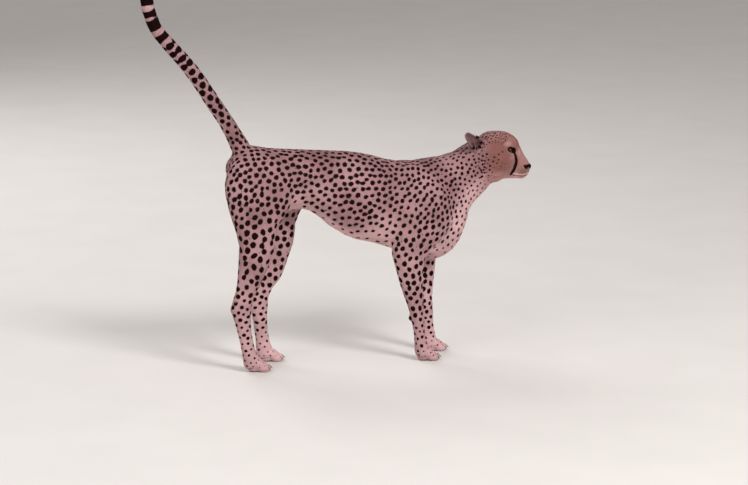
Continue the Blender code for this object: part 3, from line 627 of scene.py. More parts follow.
TEAR = [(0.6765, 0.7985), (0.683, 0.788), (0.6875, 0.7759), (0.69, 0.7615), (0.6888, 0.7476)]
TEAR += [(0.685, 0.7356), (0.68, 0.7237), (0.673, 0.7138), (0.669, 0.707)]
CHEEK_SPOTS = [  # x, z, half length in mm, rows from the eye back to the neck
    (0.6315, 0.8, 3.2), (0.617, 0.7915, 3.8), (0.601, 0.78, 4.2), (0.573, 0.7915, 5.0),
    (0.6165, 0.7715, 3.2), (0.596, 0.764, 4.4), (0.579, 0.77, 3.8), (0.61, 0.7575, 3.6),
    (0.585, 0.7463, 5.0), (0.565, 0.754, 4.0), (0.5832, 0.7312, 5.2), (0.6, 0.74, 2.8),
    (0.5932, 0.721, 3.6), (0.5621, 0.7415, 5.2), (0.564, 0.7195, 4.6), (0.547, 0.73, 5.2),
    (0.579, 0.708, 4.0), (0.5527, 0.705, 6.4), (0.53, 0.7205, 6.0), (0.63, 0.76, 2.2),
    (0.626, 0.744, 2.4), (0.642, 0.752, 1.9), (0.618, 0.729, 2.4), (0.64, 0.737, 1.8),
    (0.537, 0.762, 4.4), (0.534, 0.748, 4.0), (0.521, 0.744, 4.6),
]  # fmt: skip
PALE_PATCHES = [  # over and under the eye and beside the nose: x, z, radii, paleness
    (0.656, 0.829, 0.018, 0.012, 0.5),
    (0.672, 0.778, 0.012, 0.018, 0.32),
    (0.702, 0.788, 0.011, 0.03, 0.42),
]
EAR_BLOTCHES = [(0.5125, 0.817, 8.0), (0.55, 0.834, 6.0), (0.543, 0.8165, 7.5), (0.528, 0.811, 4.5)]


def ear_shares(points, normals):
    """Of each ear: which points are on it, share of its length, place across it, how they face out."""
    for word, ear in EARS.items():
        base, tip, facing = (np.array(v) for v in ear)
        length = np.linalg.norm(tip - base)
        up = (tip - base) / length
        out = unit(facing - up * (facing @ up))
        local = points - base
        share, across = local @ up / length, local @ np.cross(out, up)
        near = (share > 0.02) & (share < 1.15)
        near &= (np.abs(across) < 0.036) & (np.abs(local @ out) < 0.028)
        yield word, near, share, across, normals @ out


def tail_heights(points):
    """Height on the tail's own line of the place nearest each point, or -1 off the tail."""
    heights = np.full(len(points), -1.0)
    on = (points[:, 2] > 0.88) & (points[:, 0] < -0.36)
    if on.any():
        _, along = segment_distance(points[on], TAIL_LINE[:, :3])
        heights[on] = np.interp(along, TAIL_LENGTH, TAIL_LINE[:, 2])
    return heights


def fixed_marks(points, normals):
    """The marks that lie at set places, on the face, the ears, the tail and the soles."""
    q, _ = folded(points)
    x, out, z = q.T
    flat = q[:, [0, 2]]
    black = np.full(len(points), NOT_THERE)

    def mark(depth, where=True):
        np.maximum(black, np.where(where, depth, NOT_THERE), out=black)

    head = x > 0.6
    d, along = segment_distance(flat, TEAR)
    wide = np.interp(along, [0, 0.012, 0.035, 0.062, 0.085, 0.105], [4.6, 4.2, 5.8, 7.0, 6.0, 3.8])
    mark(wide - 1000 * d, head & (out > 0.012))
    lips = lip_heights(q)
    mark(1.5 - np.abs(lips), lips > -9)
    mark((1.3 - lid_share(points)) * 9.0)
    ahead, up = x - 0.6655, z - 0.8068  # from the middle of the dark patch of the eye
    patch = np.hypot((ahead * 0.91 - up * 0.41) / 0.0132, (up * 0.91 + ahead * 0.41) / 0.0105)
    mark((1 - patch) * 11, head & (out > 0.026))
    mark((1.0 - nose_share(points)) * 8.0)
    wobble = ripple(points, 0.009, 14)
    face = (x > 0.5) & (out > 0.03) & (points[:, 2] > 0.66)
    for at_x, at_z, half in CHEEK_SPOTS:
        spot = half - 1000 * np.hypot(x - at_x, (z - at_z) * 1.15)
        mark(spot + 0.12 * half * wobble, face)
    for at_x, at_z, half in EAR_BLOTCHES:
        mark(half - 1000 * np.hypot(x - at_x, z - at_z) + wobble * 1.2, face & (points[:, 1] < 0))
    cleft = oval(q, (0.747, 0.0, 0.716), (0.01, 0.0014, 0.007))
    mark((1 - cleft) * 1.4, x > 0.735)
    for row, k in product(range(3), range(5)):  # the roots of the whiskers
        root = (0.733 - 0.0068 * k - 0.002 * row, 0.7235 - 0.0068 * row - 0.0006 * k)
        mark(1.25 - 1000 * np.linalg.norm(flat - root, axis=1), head & (out > 0.016))
    for word, near, share, across, facing in ear_shares(points, normals):
        mark(np.minimum((0.8 - share) * 60, (share - 0.22) * 60), near & (facing < -0.15))
        if word == "right":
            notch = np.hypot((share - 0.46) * 80, (across + 0.021) * 1000)
            mark(8.0 - notch, near & (facing > -0.5))
    heights = tail_heights(points)
    wobble = 1.6 * ripple(points, 0.03, 5)
    for low, high in RINGS:
        middle, half = (low + high) / 2, (high - low) / 2
        mark(1000 * (half - np.abs(heights - middle)) + wobble, heights > 0)
    sole = ramp(-normals[:, 2], 0.45, 0.75) * (points[:, 2] < 0.016)
    mark(sole * 6 - 3, sole > 0)
    return black


# ---- the scattered spots
SAMPLE_GAP = 0.0045  # metres between the places that are tried for a spot
GAP_METRES = 0.00093  # metres between spots, to each millimetre in COAT
SMALLEST = 2.6  # mm across, below which there are no spots
HALF = 0.545  # half a spot's width, over its diameter in COAT
CROWDED = 410  # half a spot's width in mm is at most this, to each metre to the next spot
ROWS_START = 0.922  # height of the first row of spots round the tail
SPOT_REACH = 26.0  # mm that a spot reaches through the skin, so that it stays on its own side


def scattered(mesh, points, normals, density, rng):
    """Points on the mesh, as many to the square metre as each triangle's density, with normals."""
    corners = triangles_of(mesh)
    a, b, c = (points[corners[:, k]] for k in range(3))
    area = np.linalg.norm(np.cross(b - a, c - a), axis=1) / 2
    edges = np.concatenate([[0], np.cumsum(area * density)])
    picks = np.arange(int(edges[-1])) + rng.uniform(0, 1, int(edges[-1]))
    face = corners[np.clip(np.searchsorted(edges, picks) - 1, 0, len(corners) - 1)]
    u, v = rng.uniform(0, 1, (2, len(face)))
    over = u + v > 1
    u, v = np.where(over, 1 - u, u), np.where(over, 1 - v, v)
    weights = np.stack([1 - u - v, u, v], axis=1)[:, :, None]
    return (points[face] * weights).sum(axis=1), unit((normals[face] * weights).sum(axis=1))


def thrown(places, gap, allowed, cell=0.045):
    """Indices of spots, each at least about a gap, which is less than a cell, from those before it."""
    grid, chosen = {}, []
    for i in np.nonzero(allowed)[0]:
        x, y, z = places[i]
        key = (int(x // cell), int(y // cell), int(z // cell))
        cells = ((key[0] + a, key[1] + b, key[2] + c) for a, b, c in product((-1, 0, 1), repeat=3))
        near = (spot for cell_key in cells for spot in grid.get(cell_key, ()))
        reach = (0.79 * gap[i]) ** 2
        if all((a - x) ** 2 + (b - y) ** 2 + (c - z) ** 2 > reach for a, b, c in near):
            grid.setdefault(key, []).append((x, y, z))
            chosen.append(i)
    return np.array(chosen)


def settled(places, gap, allowed, chosen, rounds=11):
    """The spots moved to the middle of the skin that is nearest each, closer where the gap is less."""
    usable = np.nonzero(allowed)[0]
    skin, weight = places[usable], gap[usable] ** -4.0
    ground = tree_of(skin)
    for _ in range(rounds):
        tree, count = tree_of(places[chosen]), len(chosen)
        owner = np.array([tree.find(place)[1] for place in skin])
        total = np.maximum(np.bincount(owner, weights=weight, minlength=count), 1e-9)
        sums = [np.bincount(owner, weights=weight * column, minlength=count) for column in skin.T]
        middle = np.stack(sums, axis=1) / total[:, None]
        chosen = usable[[ground.find(place)[1] for place in middle]]
    return chosen


def small_spots(places, normal, lie, allowed, tree, half):
    """A few small dots in the wider spaces between the spots of the body."""
    x, y, z = places.T
    picked = []
    for i in np.nonzero(allowed & (z > 0.3) & (x < 0.5) & (np.abs(y) > 0.03))[0]:
        _, nearest, apart = tree.find(places[i])
        clear = apart - half[nearest] / 1000 > 0.0068
        if clear and all(np.abs(places[i] - places[j]).max() > 0.045 for j in picked):
            picked.append(i)
    out = normal[picked]
    along = laid(lie[picked], out)
    wide = 2.0 + 0.9 * np.abs(ripple(places[picked], 0.02, 12))[:, None]
    return [places[picked], along, np.cross(out, along), out, wide, wide * 0.9]


def tail_spots(rng, count=15):
    """Rows of spots round the tail, which widen until they meet in the rings."""
    heights = TAIL_LINE[:, 2]
    start, end = (np.interp(z, heights, TAIL_LENGTH) for z in (ROWS_START, SPOTS_END - 0.012))
    side = np.array([0.0, 1.0, 0.0])
    made = []
    for i in range(count):
        t = i / (count - 1)
        at = start + (end - start) * t * (0.78 + 0.22 * t)
        place = np.array([np.interp(at, TAIL_LENGTH, column) for column in TAIL_LINE.T])
        way = unit(np.array([np.interp(at, TAIL_LENGTH, column) for column in TAIL_WAY.T]))
        ahead = np.cross(side, way)
        around = 5 if t < 0.3 else 4
        for k in range(around):
            angle = math.tau * (k + 0.5 * (i % 2)) / around + rng.normal(0, 0.08)
            out = side * math.cos(angle) + ahead * math.sin(angle)
            centre = place[:3] + out * place[3] * 0.92 + way * rng.normal(0, 0.0015)
            wide = 8.2 + 7.5 * t + 4.6 * t**2 + rng.normal(0, 0.6)
            long = min(8.6 + 9.0 * t, 12.4) + rng.normal(0, 0.6)
            made.append((centre, way, np.cross(out, way), out, [long], [wide]))
    return [np.array(column) for column in zip(*made)]


def make_spots(mesh):
    """The scattered spots: centres, ways along, across and out, half lengths and widths in mm."""
    rng = np.random.default_rng(11)
    density = np.full(len(mesh.polygons), 1 / SAMPLE_GAP**2)
    places, normal = scattered(mesh, *surface(mesh), density, rng)
    order = rng.permutation(len(places))
    places, normal = places[order], normal[order]
    size, gap, stretch, _, _, lie = coat_at(places)
    gap = gap * (1 + 0.35 * ramp(-normal[:, 2], 0.3, 0.9) * (places[:, 2] > 0.4)) * GAP_METRES
    allowed = (size > SMALLEST) & (fixed_marks(places, normal) < -3.5)
    allowed &= tail_heights(places) < ROWS_START - 0.014
    allowed &= (nose_share(places) > 2.5) & (places[:, 2] > 0.016)
    for _, near, *_ in ear_shares(places, normal):
        allowed &= ~near
    chosen = settled(places, gap, allowed, thrown(places, gap, allowed))
    count, centres, out = len(chosen), places[chosen], normal[chosen]
    along, across = turned(laid(lie[chosen], out), out, rng.normal(0, 0.35, count))
    uneven = np.where(centres[:, 2] < 0.45, 0.24, 0.12)  # how much the sizes of neighbours differ
    half = size[chosen] * HALF * (1.07 - uneven * rng.uniform(0, 1.5, count))
    tree = tree_of(centres)
    half = np.minimum(half, CROWDED * np.array([tree.find_n(centre, 2)[1][2] for centre in centres]))
    shape = np.sqrt(stretch[chosen] * np.exp(rng.normal(0, 0.1, count)))
    large = [centres, along, across, out, (half * shape)[:, None], (half / shape)[:, None]]
    small = small_spots(places, normal, lie, allowed, tree, half)
    return [np.concatenate(parts) for parts in zip(large, small, tail_spots(rng))]


def marks_at(points, normals, spots, tree):
    """Millimetres inside the black of any marking, below 0 outside it."""
    nearest = np.array([[found[1] for found in tree.find_n(p, 3)] for p in points])
    wobble = ripple(points, 0.011, 3)
    best = fixed_marks(points, normals)
    for index in nearest.T:
        centre, along, across, out, long, wide = (column[index] for column in spots)
        apart, long, wide = (points - centre) * 1000, long[:, 0], wide[:, 0]
        a, b, c = dot(apart, along) / long, dot(apart, across) / wide, dot(apart, out) / SPOT_REACH
        size = np.sqrt(long * wide)
        inside = (1 - np.sqrt(a * a + b * b + c * c)) * size
        best = np.maximum(best, inside + wobble * 0.09 * size)
    return best


def shades(points, normals, rng):
    """The other values that skin and tufts share at these points: pale, tint and shade, with painted
    shade on the tail, the ear's hollow and the inner hind legs, and a painted highlight on the ear's
    upper rim.
    """
    pale = undersides(points, normals, coat_at(points)[3])
    pale = np.clip(pale + 0.1 * ripple(points, 0.09, 7), 0, 1)
    straight = head_straight(points)
    x, y, z = straight.T
    tint = ramp(x, 0.545, 0.6) * (points[:, 2] > 0.6)
    shade = 1 + 0.05 * ripple(points, 0.05, 8) + 0.03 * rng.normal(size=len(points))
    # painted shade: the whole tail is darkened to stand in for the shade it lies in
    shade *= np.where(tail_heights(points) > 0, 0.88, 1.0)
    above = lip_heights(np.abs(straight))
    lip = ramp(above, 1.0, 3.0) * fall(above, 8.0, 12.0) * ramp(x, 0.669, 0.68)
    white = 0.95 * np.maximum(lip, fall(above, -4.0, -1.0))
    pale = np.maximum(pale, np.where(above > -45, white, 0.0))
    shade *= 1 - 0.27 * (ramp(above, 8.0, 13.0) * fall(above, 24.0, 32.0) * ramp(x, 0.69, 0.702))
    for at_x, at_z, wide, high, most in PALE_PATCHES:
        apart = np.hypot((x - at_x) / wide, (z - at_z) / high)
        pale = np.maximum(pale, most * fall(apart, 0.0, 1.5) * (np.abs(y) > 0.018))
    for _, near, share, across, facing in ear_shares(points, normals):
        inside = near & (facing > 0.2)
        edge = np.interp(share, [0, 0.45, 0.9, 1.1], [0.028, 0.025, 0.0125, 0.004])
        rim = ramp(np.abs(across) / edge, 0.6, 0.9)
        # painted highlight: the upper rim of the hollow is made much paler and brighter, as a rim of
        # light along it
        painted_rim_light = ramp(rim, 0.2, 0.7) * (across < 0) * ramp(share, 0.35, 0.6)
        # painted shade: canal and fold darken the deep parts of the ear's hollow, and the whole inside
        # is dimmed, partly for its darker fur and partly as painted shade
        canal = np.hypot((share - 0.12) / 0.22, (across + 0.004) / 0.014)
        fold = np.hypot((share - 0.38) / 0.16, (across - 0.014) / 0.008)
        deep = np.maximum(fall(canal, 0.5, 1.3), fall(fold, 0.5, 1.3))
        pale = np.where(inside, 0.05 + 0.15 * rim + 0.8 * painted_rim_light, pale)
        dim = shade * (0.45 + 0.2 * rim + 0.45 * painted_rim_light) * (1 - 0.55 * deep)
        shade = np.where(inside, dim, shade)
        pale = np.where(near & (facing < 0) & (share > 0.8), 0.6, pale)
    return pale, tint, shade


# ---- the coat
TUFT_LIMIT = 45000  # tufts in one piece
PATCH = 0.0015  # half width of a tuft's patch on its map
REGIONS = {  # the way along which each piece is unrolled, and its finish
    "head": ((0.98, -0.15, 0.1), "face_coat"),
    "neck": ((0.95, 0, 0.3), "coat"),
    "trunk": ((1, 0, 0), "coat"),
    "tail": ((-0.5, 0, 0.87), "tail_coat"),
}
for limb, way_along, slot in (("leg", (0, 0, 1), "coat"), ("paw", (1, 0, 0), "paw_coat")):
    for end, hand in product(("fore", "hind"), ("left", "right")):
        REGIONS[f"{end}{limb}_{hand}"] = (way_along, slot)


def region_of(points):
    """Index into REGIONS for each point."""
    x, y, z = points.T
    found = np.full(len(points), list(REGIONS).index("trunk"))

    def put(name, here):
        found[here] = list(REGIONS).index(name)

    leg = z < np.where(x > 0.05, 0.475, 0.55)
    for end, here, paw_top in (("fore", leg & (x > 0.13), 0.115), ("hind", leg & (x <= 0.05), 0.105)):
        for hand, on_side in (("left", y > 0), ("right", y <= 0)):
            put(f"{end}leg_{hand}", here & on_side)
            put(f"{end}paw_{hand}", here & on_side & (z < paw_top))
    put("neck", (x > 0.38) & (z > 0.6) & (0.976 * (x - 0.4) + 0.218 * (z - 0.785) > 0))
    straight_x = head_straight(points)[:, 0]
    put("head", (0.894 * (straight_x - 0.517) + 0.447 * (z - 0.831) > 0) & (z > 0.6))
    put("tail", (x < -0.34) & (-0.475 * (x + 0.394) + 0.88 * (z - 0.874) > 0))
    for ear in EARS.values():
        put("head", (segment_distance(points, ear[:2])[0] < 0.033) & (z > 0.79))
    return found


def unrolled(points, way, parts=20):
    """Where each point lies, from 0 to 1 each way, when the piece is unrolled round its middle."""
    way = unit(np.array(way, float))
    first = unit(np.cross(way, (0.0, 1.0, 0.2)))
    along = points @ way
    bins = np.linspace(along.min() - 1e-6, along.max() + 1e-6, parts + 1)
    which = np.clip(np.digitize(along, bins) - 1, 0, parts - 1)
    count = np.bincount(which, minlength=parts)
    kept = count > 0
    middles = ((bins[1:] + bins[:-1]) / 2)[kept]
    around = []
    for axis in (first, np.cross(way, first)):
        mean = np.bincount(which, weights=points @ axis, minlength=parts)[kept] / count[kept]
        around.append(points @ axis - np.interp(along, middles, mean))
    angle = np.arctan2(around[1], around[0])
    uv = [(v - v.min()) / (v.max() - v.min()) for v in (angle, along)]
    return np.stack(uv, axis=1) * 0.98 + 0.01


def tufts(name, root, normal, lie, length, values, way, rng):
    """One piece of coat: a flat closed spike at each root, and its map."""
    count = len(root)
    along, across = turned(laid(lie, normal), normal, rng.normal(0, 0.2, count))
    slope = (TUFT_SLOPE * rng.uniform(0.45, 1.05, count))[:, None]
    width = np.clip(length * 0.24, 0.0007, 0.0024)[:, None]
    reach = unit(along + normal * slope) * (length * rng.uniform(0.75, 1.1, count))[:, None]
    low = root - normal * width * 0.15
    back = root - along * width * 0.35 + normal * width * 0.22
    corners = [low + across * width / 2, low - across * width / 2, back, root + reach]
    corners = np.stack(corners, axis=1)
    corners[:, :, 2] = np.maximum(corners[:, :, 2], TUFT_LOW)
    faces = np.array([[0, 1, 2], [1, 0, 3], [2, 1, 3], [0, 2, 3]])
    faces = (np.arange(count)[:, None, None] * 4 + faces).reshape(-1, 3)
    mesh = mesh_from(name, corners.reshape(-1, 3) + SHIFT, faces)
    for key, value in values.items():
        add_value(mesh, key, value.ravel() if value.ndim == 2 else np.repeat(value, 4))
    patch = PATCH * np.array([[-1, -0.8], [1, -0.8], [0, -0.2], [0, 1]])
    uv = (unrolled(root, way)[:, None, :] + patch).reshape(-1, 2)[faces.ravel()]
    mesh.uv_layers.new(name="OFBake").uv.foreach_set("vector", uv.astype(np.float32).ravel())
    shading = normal[:, None, :] + 0.35 * np.stack([across, -across, -along, along * 0.3], axis=1)
    shading = unit(shading + rng.normal(0, 0.1, (count, 1, 3))).reshape(-1, 3)
    mesh.normals_split_custom_set_from_vertices(shading.astype(np.float32))
    return new_object(name, mesh)


def make_coat(mesh, spots):
    """The pieces of the coat over this skin, each with its finish."""
    rng = np.random.default_rng(21)
    points, normals = surface(mesh)
    corners = triangles_of(mesh)
    fur = coat_at(points)[4][corners].mean(axis=1)
    density = 1 / (np.clip(0.28 * fur, 1.35, 2.5) * 0.001) ** 2
    middle, facing = points[corners].mean(axis=1), unit(normals[corners].sum(axis=1))
    density[nose_share(middle) < 1.15] = 0
    density[lid_share(middle) < 1.3] = 0
    density[(facing[:, 2] < -0.6) & (middle[:, 2] < 0.01)] = 0
    for _, near, share, across, out in ear_shares(middle, facing):
        density[near & (out > 0.3) & (np.abs(across) < 0.014) & (share < 0.6)] *= 0.3
    for claw in claw_places():
        density[np.linalg.norm(middle - np.array(claw.translation), axis=1) < 0.0055] = 0
    root, normal = scattered(mesh, points, normals, density, rng)
    *_, length, lie = coat_at(root)
    length = length * 0.001 * (1 + 0.12 * ripple(root, 0.02, 9))
    length *= 1 - 0.5 * ramp(root[:, 2], 1.495, 1.53)
    lie = unit(lie + 0.12 * np.stack([ripple(root, 0.06, 30 + i) for i in range(3)], axis=1))
    flat = laid(lie, normal)
    seen, low, high = (root + flat * length[:, None] * share for share in (0.45, 0.12, 0.78))
    base, tip = (marks_at(end, normal, *spots) for end in (low, high))
    pale, tint, shade = shades(seen, normal, rng)
    shade = shade * rng.uniform(0.9, 1.08, len(root))
    mark = np.stack([base, base, base, tip], axis=1)
    values = {"mark": mark, "pale": pale, "tint": tint, "shade": shade}
    region = region_of(root)
    made = []
    for index, (name, (way, slot)) in enumerate(REGIONS.items()):
        members = np.nonzero(region == index)[0]
        order = members[np.argsort(root[members] @ np.array(way, float))]
        parts = np.array_split(order, -(-len(members) // TUFT_LIMIT))
        for k, part in enumerate(parts):
            label = f"coat_{name}" + (f"_{k + 1}" if len(parts) > 1 else "")
            own = {key: value[part] for key, value in values.items()}
            piece = tufts(label, root[part], normal[part], flat[part], length[part], own, way, rng)
            made.append((piece, slot))
    print("tufts", len(root), [(piece.name, len(piece.data.polygons)) for piece, _ in made])
    return made


# ---- eyes, lids, claws, whiskers
def make_eye(word, place):
    bm = bmesh.new()
    poles = Matrix.Rotation(math.pi / 2, 4, "Y")
    bmesh.ops.create_uvsphere(bm, u_segments=48, v_segments=32, radius=EYE_RADIUS, matrix=poles)
    mesh = mesh_of(f"eye_{word}", bm)
    local = surface(mesh)[0]
    facing = local[:, 0] / EYE_RADIUS
    local[:, 0] += 0.0009 * ramp(facing, 0.72, 0.98)  # the bulge of the cornea
    add_value(mesh, "from_axis", np.degrees(np.arccos(np.clip(facing, -1, 1))))
    angle = np.arctan2(local[:, 2], local[:, 1])
    add_value(mesh, "rays", 0.5 + 0.25 * np.sin(angle * 23) + 0.25 * np.sin(angle * 41 + 1))
    set_points(mesh, moved(local, place) + SHIFT)
    return new_object(f"eye_{word}", smooth(mesh))


def lid_profile(angle, side):
    """The almond edge of the lids: straighter below and drawn out to the inner corner."""
    point = max(0.0, math.cos(angle) * -side)
    y = math.cos(angle) * LID_ALONG - side * 0.003 * point**4
    z = math.sin(angle) * LID_UP * (1 - 0.3 * abs(math.cos(angle)) ** 3) - 0.0016 * point**4
    return y, z


def make_lids(word, side, place, tree):
    """A thin dark rim from the eye's surface up to the skin round it."""
    steps, rings = 56, (1.52, 1.4, 1.26, 1.14, 1.04, 0.97, 0.9)
    inverse, way = place.inverted(), place.to_3x3() @ Vector((1, 0, 0))
    front, back = [], []
    for k, share in product(range(steps), rings):
        y, z = (share * edge for edge in lid_profile(math.tau * k / steps, side))
        hit = tree.ray_cast(place @ Vector((0.05, y, z)), -way, 0.06)[0]
        skin_x = (inverse @ hit).x if hit is not None else 0.012
        ball = math.sqrt(max(EYE_RADIUS**2 - y * y - z * z, 0.0))
        t = min(1.0, max(0.0, (share - 0.97) / 0.43))
        x = (ball + 0.0009) * (1 - t) + max(skin_x, ball) * t + 0.0016 * math.sin(math.pi * t) * (1 - t)
        x = {rings[-1]: ball - 0.0004, rings[0]: skin_x - 0.0012}.get(share, x)
        front.append((x, y, z))
        back.append((min(x - 0.0014, ball + 0.0002), y, z))
    count, total = len(rings), len(front)
    faces = []
    for k in range(steps):
        here, there = k * count, (k + 1) % steps * count
        for r in range(count - 1):
            quad = (here + r, here + r + 1, there + r + 1, there + r)
            faces += [quad, tuple(total + i for i in quad[::-1])]
        for r in (0, count - 1):
            quad = (here + r, there + r, there + r + total, here + r + total)
            faces.append(quad if r == 0 else quad[::-1])
    points = moved(np.array(front + back), place) + SHIFT
    mesh = mesh_from(f"lids_{word}", points, np.array(faces))
    bm = bmesh.new()
    bm.from_mesh(mesh)
    bmesh.ops.recalc_face_normals(bm, faces=bm.faces)
    bm.to_mesh(mesh)
    bm.free()
    return new_object(f"lids_{word}", mesh)


def claw_places():
    """The root of each claw, with +X along it."""
    paws = ((PAW_FORE, FORE_STRIDE), (PAW_HIND, HIND_STRIDE))
    for side, ((x, out), table), (across, toe_ahead, turn) in product((1, -1), paws, TOES):
        ahead = float(stride(table, np.array([0.02]))[0]) if side > 0 else 0.0
        root_x = x + ahead + 0.018 + toe_ahead + TOE_LENGTH * 0.92
        root = Vector((root_x, side * out + across * (TOE_SPREAD + 0.001), 0.015))
        turned_in = Matrix.Rotation(math.radians(-turn), 4, "Z")
        yield Matrix.Translation(root) @ turned_in @ Matrix.Rotation(CLAW_DROOP, 4, "Y")


def tube(path, radii, sides):
    """Points and faces of a closed tube along a path."""
    path = np.array(path, float)
    points, faces = [], []
    for at, way, radius in zip(path, unit(np.gradient(path, axis=0)), radii):
        first = unit(np.cross(way, (0.1, 0.2, 1.0)))
        second = np.cross(way, first)
        for angle in (math.tau * k / sides for k in range(sides)):
            points.append(at + radius * (first * math.cos(angle) + second * math.sin(angle)))
    last = (len(path) - 1) * sides
    for r, k in product(range(0, last, sides), range(sides)):
        a, b = r + k, r + (k + 1) % sides
        faces.append((a, b, b + sides, a + sides))
    return points, faces + [tuple(reversed(range(sides))), tuple(range(last, last + sides))]


def tubes_object(name, tubes):
    points, faces = [], []
    for more, corners in tubes:
        faces += [tuple(len(points) + i for i in face) for face in corners]
        points += [tuple(p + SHIFT) for p in more]
    mesh = bpy.data.meshes.new(name)
    mesh.from_pydata(points, [], faces)
    return new_object(name, smooth(mesh))


def make_claws():
    radii = [CLAW_RADIUS * r for r in (0.8, 1.0, 1.0, 0.88, 0.68, 0.44, 0.12)]
    along = np.linspace(0, 1.3, len(radii))
    path = [(-0.008 + 0.0128 * t, 0, -0.004 * max(t - 0.45, 0.0) ** 1.5) for t in along]
    made = []
    for place in claw_places():
        points, faces = tube(moved(np.array(path), place), radii, 8)
        made.append(([np.maximum(p, (-9, -9, CLAW_LOW)) for p in points], faces))
    return tubes_object("claws", made)


def make_whiskers(tree):
    rng = np.random.default_rng(4)
    turn = HEAD_TURN.to_3x3()
    made = []
    for side, row, k in product((1, -1), range(3), range(4)):
        x, z = 0.731 - 0.0078 * k - 0.002 * row, 0.723 - 0.0068 * row
        start = HEAD_TURN @ Vector((x, side * 0.08, z))
        hit = tree.ray_cast(start, turn @ Vector((0, -side, 0)), 0.1)[0]
        if hit is None:
            continue
        length = rng.uniform(0.034, 0.052) * (0.6 + 0.16 * k)
        out = Vector((0.1 - 0.28 * k, side * 0.8, 0.02 - 0.16 * row + rng.normal(0, 0.08)))
        out = (turn @ out).normalized()
        drop = rng.uniform(0.1, 0.22)
        path = [
            hit + out * (length * t - 0.0015) + Vector((-0.1 * t * t, 0, -drop * t * t)) * length
            for t in np.linspace(0, 1, 6)
        ]
        made.append(tube(path, np.linspace(0.00024, 0.00005, 6), 4))
    return tubes_object("whiskers", made)


# ---- materials
def linear(*colour):
    """A colour given in the display's 0 to 255, as the shaders take it."""
    parts = (v / 255 for v in colour)
    return tuple(c / 12.92 if c <= 0.04045 else ((c + 0.055) / 1.055) ** 2.4 for c in parts)


def fill(tree, socket, value):
    """Sets a socket to a number or a colour, or joins another node's output to it."""
    if isinstance(value, tuple):
        socket.default_value = (*value, 1.0)
    elif isinstance(value, (int, float)):
        socket.default_value = value
    else:
        tree.links.new(value, socket)


def add_node(tree, kind, inputs, **settings):
    node = tree.nodes.new(f"ShaderNode{kind}")
    for key, value in settings.items():
        setattr(node, key, value)
    for key, value in inputs.items():
        fill(tree, node.inputs[key], value)
    return node.outputs


def new_material(name, **settings):
    material = bpy.data.materials.new(name)
    material.use_nodes = True
    shader = material.node_tree.nodes["Principled BSDF"]
    for key, value in settings.items():
        fill(material.node_tree, shader.inputs[key.replace("_", " ")], value)
    return material, material.node_tree, shader.inputs


def attribute(tree, name):
    return add_node(tree, "Attribute", {}, attribute_name=name)["Fac"]


def noise(tree, scale, detail=2.0):
    where = add_node(tree, "TexCoord", {})["Object"]
    return add_node(tree, "TexNoise", {"Vector": where, "Scale": scale, "Detail": detail})["Fac"]


def maths(tree, operation, *values):
    return add_node(tree, "Math", dict(enumerate(values)), operation=operation)["Value"]


def mixed(tree, share, first, second):
    inputs = {"Factor": share, "A": first, "B": second}
    return add_node(tree, "Mix", inputs, data_type="RGBA", blend_type="MIX")["Result"]


def rise(tree, value, low, high):
    inputs = {"From Min": low, "From Max": high, "Value": value}
    return add_node(tree, "MapRange", inputs, interpolation_type="SMOOTHSTEP")["Result"]


def bumpy(tree, inputs, scale, strength, distance):
    """Joins a bump of fine noise to the shader's inputs."""
    bump = {"Strength": strength, "Distance": distance, "Height": noise(tree, scale, 3.0)}
    fill(tree, inputs["Normal"], add_node(tree, "Bump", bump)["Normal"])


TAN, CREAM = linear(147, 107, 109), linear(229, 186, 187)
FACE_TAN, FACE_CREAM = linear(134, 89, 83), linear(216, 167, 163)
BLACK = linear(24, 4, 4)


def coat_material():
    material, tree, inputs = new_material("coat", Roughness=0.8, Specular_IOR_Level=0.07)
    body = mixed(tree, attribute(tree, "pale"), TAN, CREAM)
    face = mixed(tree, attribute(tree, "pale"), FACE_TAN, FACE_CREAM)
    ground = mixed(tree, attribute(tree, "tint"), body, face)
    speck = maths(tree, "MULTIPLY_ADD", noise(tree, 700.0), 0.16, 0.92)
    shade = maths(tree, "MULTIPLY", attribute(tree, "shade"), speck)
    shaded = add_node(tree, "VectorMath", {0: ground, "Scale": shade}, operation="SCALE")["Vector"]
    edge = maths(tree, "MULTIPLY_ADD", noise(tree, 420.0), 1.6, -0.8)
    black = rise(tree, maths(tree, "ADD", attribute(tree, "mark"), edge), -0.55, 0.55)
    fill(tree, inputs["Base Color"], mixed(tree, black, shaded, BLACK))
    bumpy(tree, inputs, 900.0, 0.25, 0.0008)
    return material


def eye_material():
    """Pupil, rayed iris, its dark edge and the rim round it, by degrees from the eye's axis."""
    gloss = {"Specular_IOR_Level": 0.1, "Coat_Weight": 0.35, "Coat_Roughness": 0.02}
    material, tree, inputs = new_material("eye", Roughness=0.3, **gloss)
    turned = attribute(tree, "from_axis")
    iris = mixed(tree, attribute(tree, "rays"), linear(84, 48, 18), linear(52, 27, 10))
    deep = mixed(tree, rise(tree, turned, 24.0, 43.0), iris, linear(48, 20, 8))
    pupil = mixed(tree, rise(tree, turned, 19.0, 21.0), linear(6, 4, 4), deep)
    rim = mixed(tree, rise(tree, turned, 43.0, 47.0), pupil, linear(24, 12, 9))
    fill(tree, inputs["Base Color"], rim)
    return material


def plain_material(name, dark, light, scale, roughness, **settings):
    material, tree, inputs = new_material(name, Roughness=roughness, **settings)
    fill(tree, inputs["Base Color"], mixed(tree, noise(tree, scale, 4.0), dark, light))
    bumpy(tree, inputs, scale * 1.5, 0.3, 0.0005)
    return material


